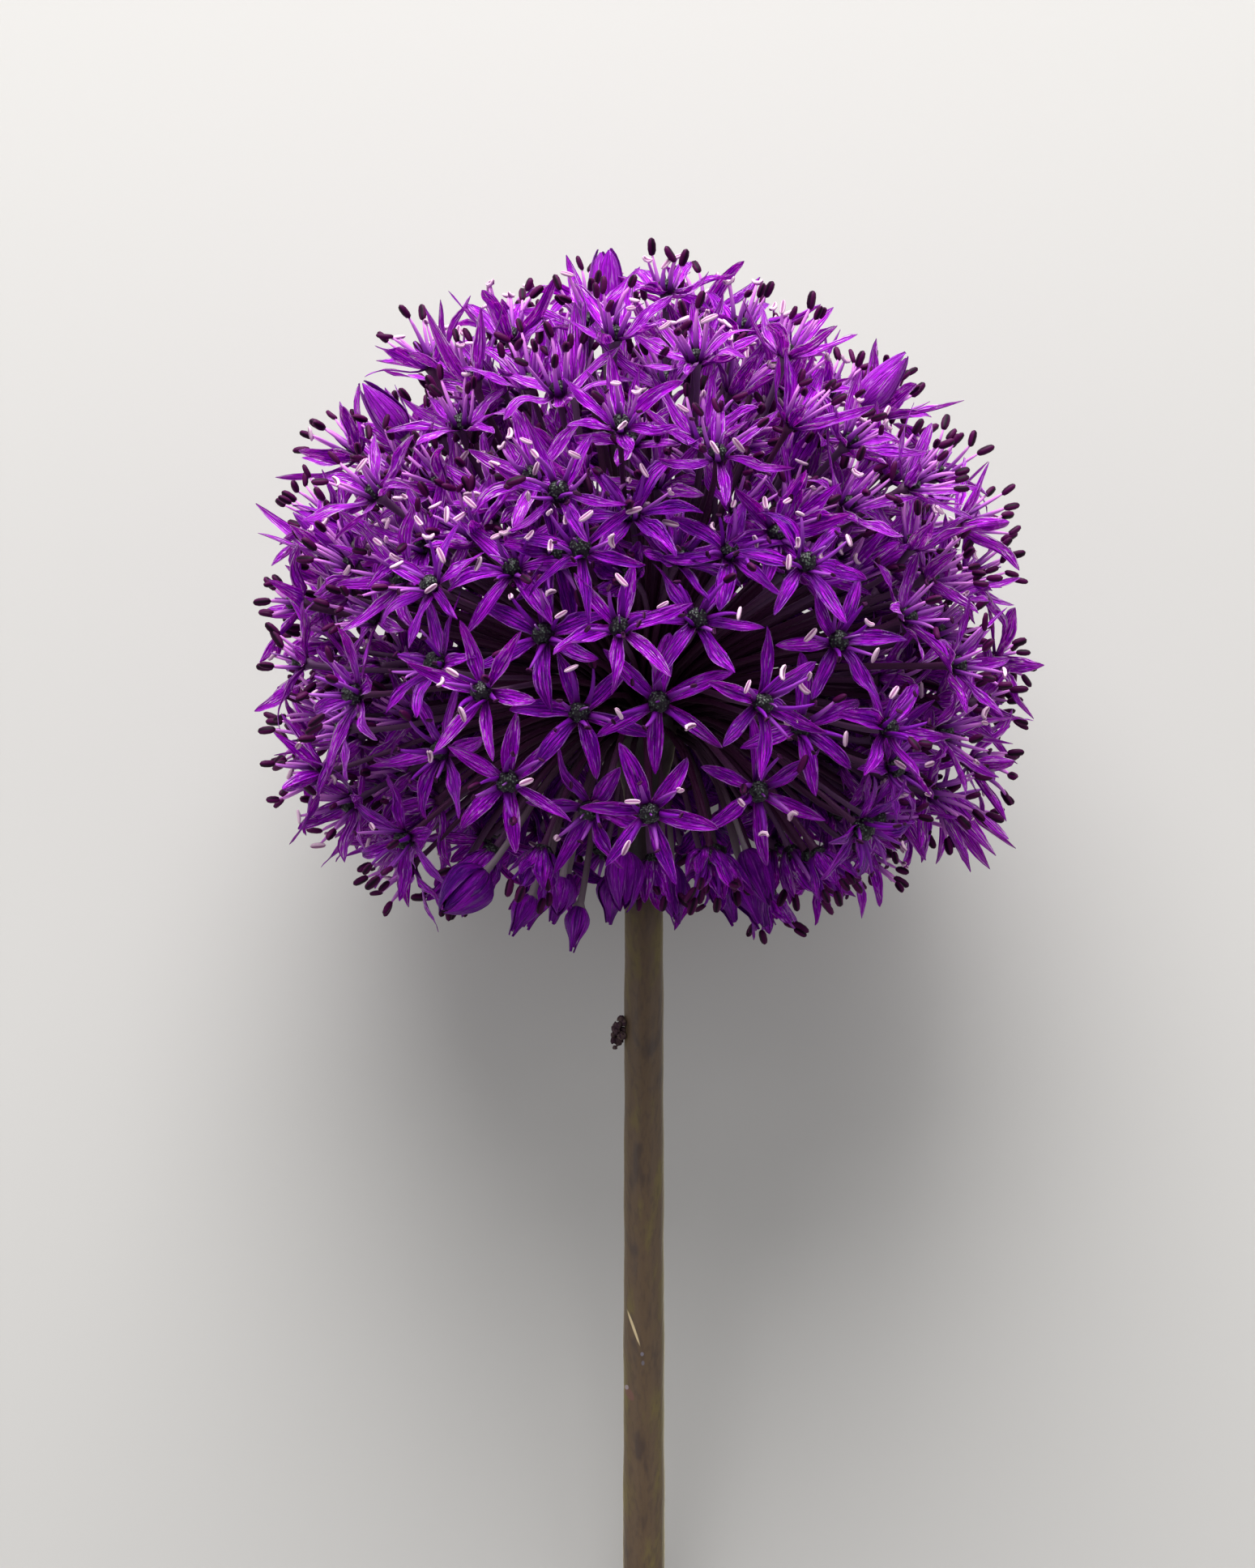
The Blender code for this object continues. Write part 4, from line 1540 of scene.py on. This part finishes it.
@dataclass
class Buds:
    """Buds below, on and behind the head."""

    receptacle: Receptacle
    plans: tuple[BudPlan, ...] = (
        # tones carry painted light and shade: buds up on the head are set bright, those under it
        # dark
        BudPlan((-21.9, -17, -20.6), (-0.7, -0.2, -0.66), 7.6, 6.2, Outline.EGG, 0.1),
        BudPlan((-14.8, -13.5, -23.4), (-0.45, -0.2, -0.88), 5.8, 3.3),
        BudPlan((-10.2, -15, -21.2), (-0.12, -0.2, -0.97), 4.9, 3.3, Outline.EGG),
        BudPlan((-8.3, -12, -25.0), (-0.16, -0.1, -0.98), 6.0, 3.1),
        BudPlan((-2.4, -14, -19.4), (-0.05, -0.3, -0.95), 7.4, 4.8, Outline.TULIP),
        BudPlan((3.2, -9, -20.5), (0.2, -0.2, -0.97), 7.2, 4.2, Outline.TULIP),
        BudPlan((14.0, -8, -19.0), (0.4, -0.2, -0.88), 7.6, 4.4, Outline.TULIP),
        BudPlan((-4.7, -9, 53.8), (0.02, -0.05, 1.0), 9.0, 4.5, Outline.GOBLET, 0.55),
        BudPlan((29.5, -8, 42.0), (0.66, -0.1, 0.75), 8.6, 4.0, Outline.TULIP, 0.8),
        BudPlan((-32.0, -6, 38.5), (-0.6, -0.1, 0.75), 8.5, 4.2, Outline.TULIP, 0.7),
        BudPlan((-39.5, -8, 24.0), (-0.85, -0.15, 0.5), 8.5, 4.2, Outline.TULIP, 0.6),
    )
    rear_count: int = 8
    rear_polar: float = math.radians(147)
    rear_radius: float = 26 * MM
    rear_length: float = 7.2
    rear_width: float = 4.2
    rear_droop: float = 0.5
    rear_azimuths: Range = (math.radians(-22), math.radians(202))
    cover: float = math.radians(47)  # half the angle that a tepal covers
    keel: float = 0.22 * MM
    midrib: float = 0.04  # how proud it stands, and how far an edge tucks in, beside the radius
    tuck: float = 0.055
    reaches: Range = (0.93, 1.04)
    tip_strays: Range = (-0.1, 0.14)
    spin_stray: float = 0.08
    tone_stray: float = 0.1
    stations: int = 12
    seed: int = 53

    def all_plans(self) -> list[BudPlan]:
        """The listed buds, and those in a ring round the back.

        Returns:
            One plan for each bud.
        """
        found = list(self.plans)
        for azimuth in np.linspace(*self.rear_azimuths, self.rear_count):
            outward = direction(np.array(self.rear_polar), azimuth)
            centre = tuple(outward * self.rear_radius / MM)
            pointing = tuple(outward + self.rear_droop * np.array((0, 0, -1)))
            found.append(BudPlan(centre, pointing, self.rear_length, self.rear_width))
        return found

    def build(self, nodes: list[str]) -> list[Piece]:
        """Make the buds' tepals and their pedicels.

        The six tepals overlap on a body whose radius runs in straight steps through the
        numbers of its outline.  Outer tepals lie over inner ones, each is a channel whose
        midrib stands proud by 4 %, one edge tucks under the next by 5.5 %, and its point ends
        at its own height.  It covers less as (1 - t^5)^0.55 towards the tip, but never less
        than its outline's blunt share.

        Args:
            nodes: the cyme nodes that they stand for.

        Returns:
            The two pieces.
        """
        rng = np.random.default_rng(self.seed)
        plans = self.all_plans()
        axis = unit(column(plans, "pointing"))
        middle = column(plans, "centre") * MM
        length = column(plans, "length") * MM
        half = column(plans, "width") * MM / 2
        steps = column(plans, "outline.value")
        blunt = across_to(column(plans, "outline.blunt"), 3)
        base = middle - axis * length[:, None] / 2
        side = unit(np.cross(axis, Florets.ASKEW))
        other = np.cross(axis, side)
        each = (len(plans), PARTS)
        t = np.linspace(0.01, 0.995, self.stations)
        s = BLADE
        inner = np.arange(PARTS) % 2
        spin = rng.uniform(0, math.pi / 3, (len(plans), 1)) + rng.normal(0, self.spin_stray, each)
        azimuth = across_to(spin + np.arange(PARTS) * math.pi / 3, 2)
        reach = length[:, None] * rng.uniform(*self.reaches, each) * (1 - 0.05 * inner)
        level = t * (steps.shape[1] - 1)
        below = np.minimum(level.astype(int), steps.shape[1] - 2)
        share = level - below
        body = steps[:, below] * (1 - share) + steps[:, below + 1] * share
        stray = 1 + across_to(rng.uniform(*self.tip_strays, each), 1) * smooth((t - 0.7) / 0.3)
        girth = across_to(half, 2) * body[:, None] * stray * (1 - 0.08 * across_to(inner, 1))
        cover = self.cover * np.maximum((1 - t[:, None] ** 5) ** 0.55, blunt)
        angle = azimuth + s * cover
        bulge = 1 + self.midrib * (1 - s**2) - self.tuck * s
        radius = girth[..., None] * bulge - BACK * self.keel
        height = across_to(reach, 1) * t
        side, other = side[:, None, None, None], other[:, None, None, None]
        around = np.cos(angle)[..., None] * side + np.sin(angle)[..., None] * other
        points = (
            base[:, None, None, None]
            + height[..., None, None] * axis[:, None, None, None]
            + radius[..., None] * around
        ).reshape(-1, self.stations, len(s), 3)
        # bud tepals: a darker violet, partly painted shade, with weaker painted glints
        skin = TepalSkin("allium_bud_tepal", "#4C0474", "#B414D8", contrast=0.42, glints=0.3)
        tone = column(plans, "tone")[:, None] + rng.normal(0, self.tone_stray, each)
        tone = np.clip(tone, 0, 1).reshape(-1, 1, 1)
        fields = {"along": 0.3 + 0.7 * t[:, None], "across": s, "tone": tone}
        dress = skin.material()
        tepals = add_piece("bud_tepals", points, fields, dress, nodes, Tepals.crease)
        pale = StalkSkin("allium_bud_pedicel", "#2A1824", "#4A3040", "#A89CA0", 0.45, 0.5)
        stalks = Pedicels(self.receptacle, flare=0.5 * MM, seed=43)
        return [tepals, *stalks.build("bud_pedicels", base + axis * 0.5 * MM, axis, nodes, pale)]


@dataclass
class Scape:
    """The cut stem with the receptacle at its top."""

    receptacle: Receptacle
    length: float = 120 * MM
    cut_radius: float = 2.62 * MM
    neck_radius: float = 2.36 * MM
    neck_reach: float = 2.2  # where the neck ends below the umbel's centre, in knob radii
    rings: int = 90
    sides: int = 32
    ribs: int = 11
    rib_depth: float = 0.012

    def build(self) -> list[Piece]:
        """Make the scape as one turned tube.

        From the cut up, the radius runs straight from the cut's to the neck's, swells into
        the knob, and follows the knob's sphere over the top.  Faint ribs are a cosine of the
        angle, and slow swellings are sines of the height.  The cut end is a shallow dish.

        Returns:
            The piece, in a list.
        """
        up = np.linspace(0, 1, self.rings)
        neck = -self.neck_reach * self.receptacle.radius
        height = -self.length + (neck + self.length) * up
        radius = self.cut_radius + (self.neck_radius - self.cut_radius) * up
        radius = radius * (1 + 0.012 * np.sin(height * 310) + 0.01 * np.sin(height * 730 + 1))
        knob_turn = np.radians(np.linspace(128, 2, 14))
        knob_height = self.receptacle.radius * np.cos(knob_turn)
        knob_radius = self.receptacle.radius * 0.98 * np.sin(knob_turn)
        rise = np.linspace(neck, knob_height[0], 7)[1:-1]
        share = smooth((rise - neck) / (knob_height[0] - neck))
        joint = self.neck_radius + (knob_radius[0] - self.neck_radius) * share**1.6
        cut_radius = np.array((0.05, 0.5, 0.8, 0.94)) * self.cut_radius
        cut_height = np.array((0.5, 0.4, 0.15, 0.0)) * MM - self.length
        height[0] += 0.12 * MM  # a small bevel round the cut
        height = np.concatenate((cut_height, height, rise, knob_height))
        radius = np.concatenate((cut_radius, radius, joint, knob_radius))
        phi = np.arange(self.sides) * 2 * math.pi / self.sides
        ribbed = 1 + self.rib_depth * np.cos(self.ribs * phi)
        wall = radius[:, None] * np.where(height[:, None] < neck, ribbed, 1)
        level = np.broadcast_to(height[:, None], wall.shape)
        points = np.stack((wall * np.cos(phi), wall * np.sin(phi), level), axis=-1)[None]
        cut = (np.arange(len(height)) < len(cut_height)).astype(float)[:, None]
        along = ((height + self.length) / self.length)[:, None]
        front = (points[..., 1] < 0).astype(float)
        fields = {"cut": cut, "front": front, "along": along}
        skin = ScapeSkin().material()
        return [add_piece("scape_stem", points, fields, skin, ["scape"])]


@dataclass
class DriedScrap:
    """A shrivelled scrap of an old flower that clings to the side of the scape."""

    centre: Place = (-3.1, -0.6, -38.0)
    lumps: int = 22
    spread: Place = (0.5, 0.5, 1.15)
    limits: Range = (-3.7 * MM, -2.5 * MM)
    lump_radius: float = 0.5 * MM
    rings: int = 7
    sides: int = 10
    colour: str = "#3A2630"
    seed: int = 71

    def build(self) -> list[Piece]:
        """Make a clump of lumpy balls: each a ring radius of sin, at heights of cos.

        Returns:
            The piece, in a list.
        """
        rng = np.random.default_rng(self.seed)
        middle = (np.array(self.centre) + rng.normal(0, 1, (self.lumps, 3)) * self.spread) * MM
        middle[:, 0] = np.clip(middle[:, 0], *self.limits)
        axis = unit(rng.normal(0, 1, (self.lumps, 1, 3)))
        size = self.lump_radius * rng.uniform(0.6, 1.1, (self.lumps, 1, 1))
        grid = (self.lumps, self.rings, self.sides)
        path, radius = ball(middle[:, None], axis, size, self.rings)
        side = unit(np.cross(axis, Florets.ASKEW))
        points = round_tubes(path, side, radius * rng.uniform(0.55, 1.35, grid), self.sides)
        skin = StalkSkin("dried_petal", self.colour, self.colour, "#6A5A50", 0.8)
        fields = {"along": rng.random(grid), "tone": rng.random((self.lumps, 1, 1))}
        dress = skin.material()
        return [add_piece("dried_scrap", points, fields, dress, ["scape"])]


# --- stage -------------------------------------------------------------------------------


@dataclass(frozen=True)
class Lamp:
    """A square soft box: its way from the head's middle and its side in metres, and its watts."""

    name: str
    up: float
    toward: float
    right: float
    size: float
    power: float


@dataclass
class Studio:
    """Pale floor, soft light, and the camera that looks down on the lying flower."""

    lamps: tuple[Lamp, ...] = (
        Lamp("key", 0.8, 0.37, -0.12, 0.75, 12.6),
        Lamp("crown", 0.7, 0.08, 0.06, 0.6, 4.7),
        Lamp("fill_left", 0.05, 0.5, -0.7, 0.6, 0.9),
        Lamp("fill_right", 0.1, 0.5, 0.7, 0.6, 0.9),
    )
    backdrop: str = "#E4E6EA"
    backdrop_strength: float = 0.42
    distance: float = 0.7437
    lens: float = 138.0
    clip_start: float = 0.01
    aside: float = -2.0 * MM
    below: float = 7.5 * MM
    floor_half: float = 3.0

    @property
    def up(self) -> Array:
        """The way that is up in the picture."""
        return POSE.axes[2]

    @property
    def toward(self) -> Array:
        """From the flower to the camera."""
        return -POSE.axes[1]

    def build(self) -> None:
        """Set the floor, lights, background and camera."""
        self.floor()
        for lamp in self.lamps:
            self.hang(lamp)
        world = bpy.data.worlds.new("studio")
        world.use_nodes = True
        back = world.node_tree.nodes["Background"]
        back.inputs["Color"].default_value = linear(self.backdrop)
        back.inputs["Strength"].default_value = self.backdrop_strength
        bpy.context.scene.world = world
        bpy.context.scene.view_settings.view_transform = "Standard"
        self.camera()

    def floor(self) -> None:
        """A plain flat floor of pale card."""
        h = self.floor_half
        mesh = bpy.data.meshes.new("floor")
        mesh.from_pydata([(-h, -h, 0), (h, -h, 0), (h, h, 0), (-h, h, 0)], [], [(0, 1, 2, 3)])
        mesh.materials.append(StudioCard().material())
        floor = bpy.data.objects.new("floor", mesh)
        bpy.context.scene.collection.objects.link(floor)

    def hang(self, lamp: Lamp) -> None:
        """Hang a lamp so that it faces the head.

        Args:
            lamp: which one.
        """
        light = bpy.data.lights.new(lamp.name, "AREA")
        light.size = lamp.size
        light.energy = lamp.power
        aside = np.array((lamp.right, 0, 0))
        place = POSE.centre + lamp.up * self.up + lamp.toward * self.toward + aside
        box = bpy.data.objects.new(lamp.name, light)
        box.location = Vector(place)
        box.rotation_euler = Vector(place - POSE.centre).to_track_quat("Z", "Y").to_euler()
        bpy.context.scene.collection.objects.link(box)

    def camera(self) -> None:
        """Look square at the best side, with the scape running down out of the picture."""
        data = bpy.data.cameras.new("camera")
        data.lens = self.lens
        data.clip_start = self.clip_start
        camera = bpy.data.objects.new("camera", data)
        right = np.array((1.0, 0, 0))
        place = POSE.centre + self.aside * right - self.below * self.up
        place = place + self.distance * self.toward
        turn = Matrix(np.stack((right, self.up, self.toward), axis=1).tolist())
        camera.matrix_world = Matrix.Translation(place) @ turn.to_4x4()
        bpy.context.scene.collection.objects.link(camera)
        bpy.context.scene.camera = camera


def main() -> None:
    """Dress the frame and report each piece."""
    logging.basicConfig(level=logging.INFO, format="%(message)s")
    cymes = sorted(name for name in frame["nodes"] if name != "scape")
    umbel = Umbel()
    florets = umbel.gathered(frame["nodes"])
    receptacle = Receptacle()
    heads = florets.centre + 0.1 * MM * florets.normal
    # pedicels darken towards the receptacle, deep in the head: partly own colour, partly painted
    # shade
    stalk = StalkSkin("allium_pedicel", "#2A1420", "#441838", "#6C4C70", pale_from=0.3)
    pieces = [
        *Tepals(florets, florets.near(umbel.spent)).build(cymes),
        *Stamens(florets).build(cymes),
        *Ovaries(florets).build(cymes),
        *Pedicels(receptacle).build("pedicels", heads, florets.normal, cymes, stalk),
        *Buds(receptacle).build(cymes),
        *Scape(receptacle).build(),
        *DriedScrap().build(),
    ]
    Studio().build()
    for piece in pieces:
        material = piece.active_material.name
        LOG.info("%s: %d faces of %s", piece.name, len(piece.data.polygons), material)


if __name__ == "__main__":
    main()
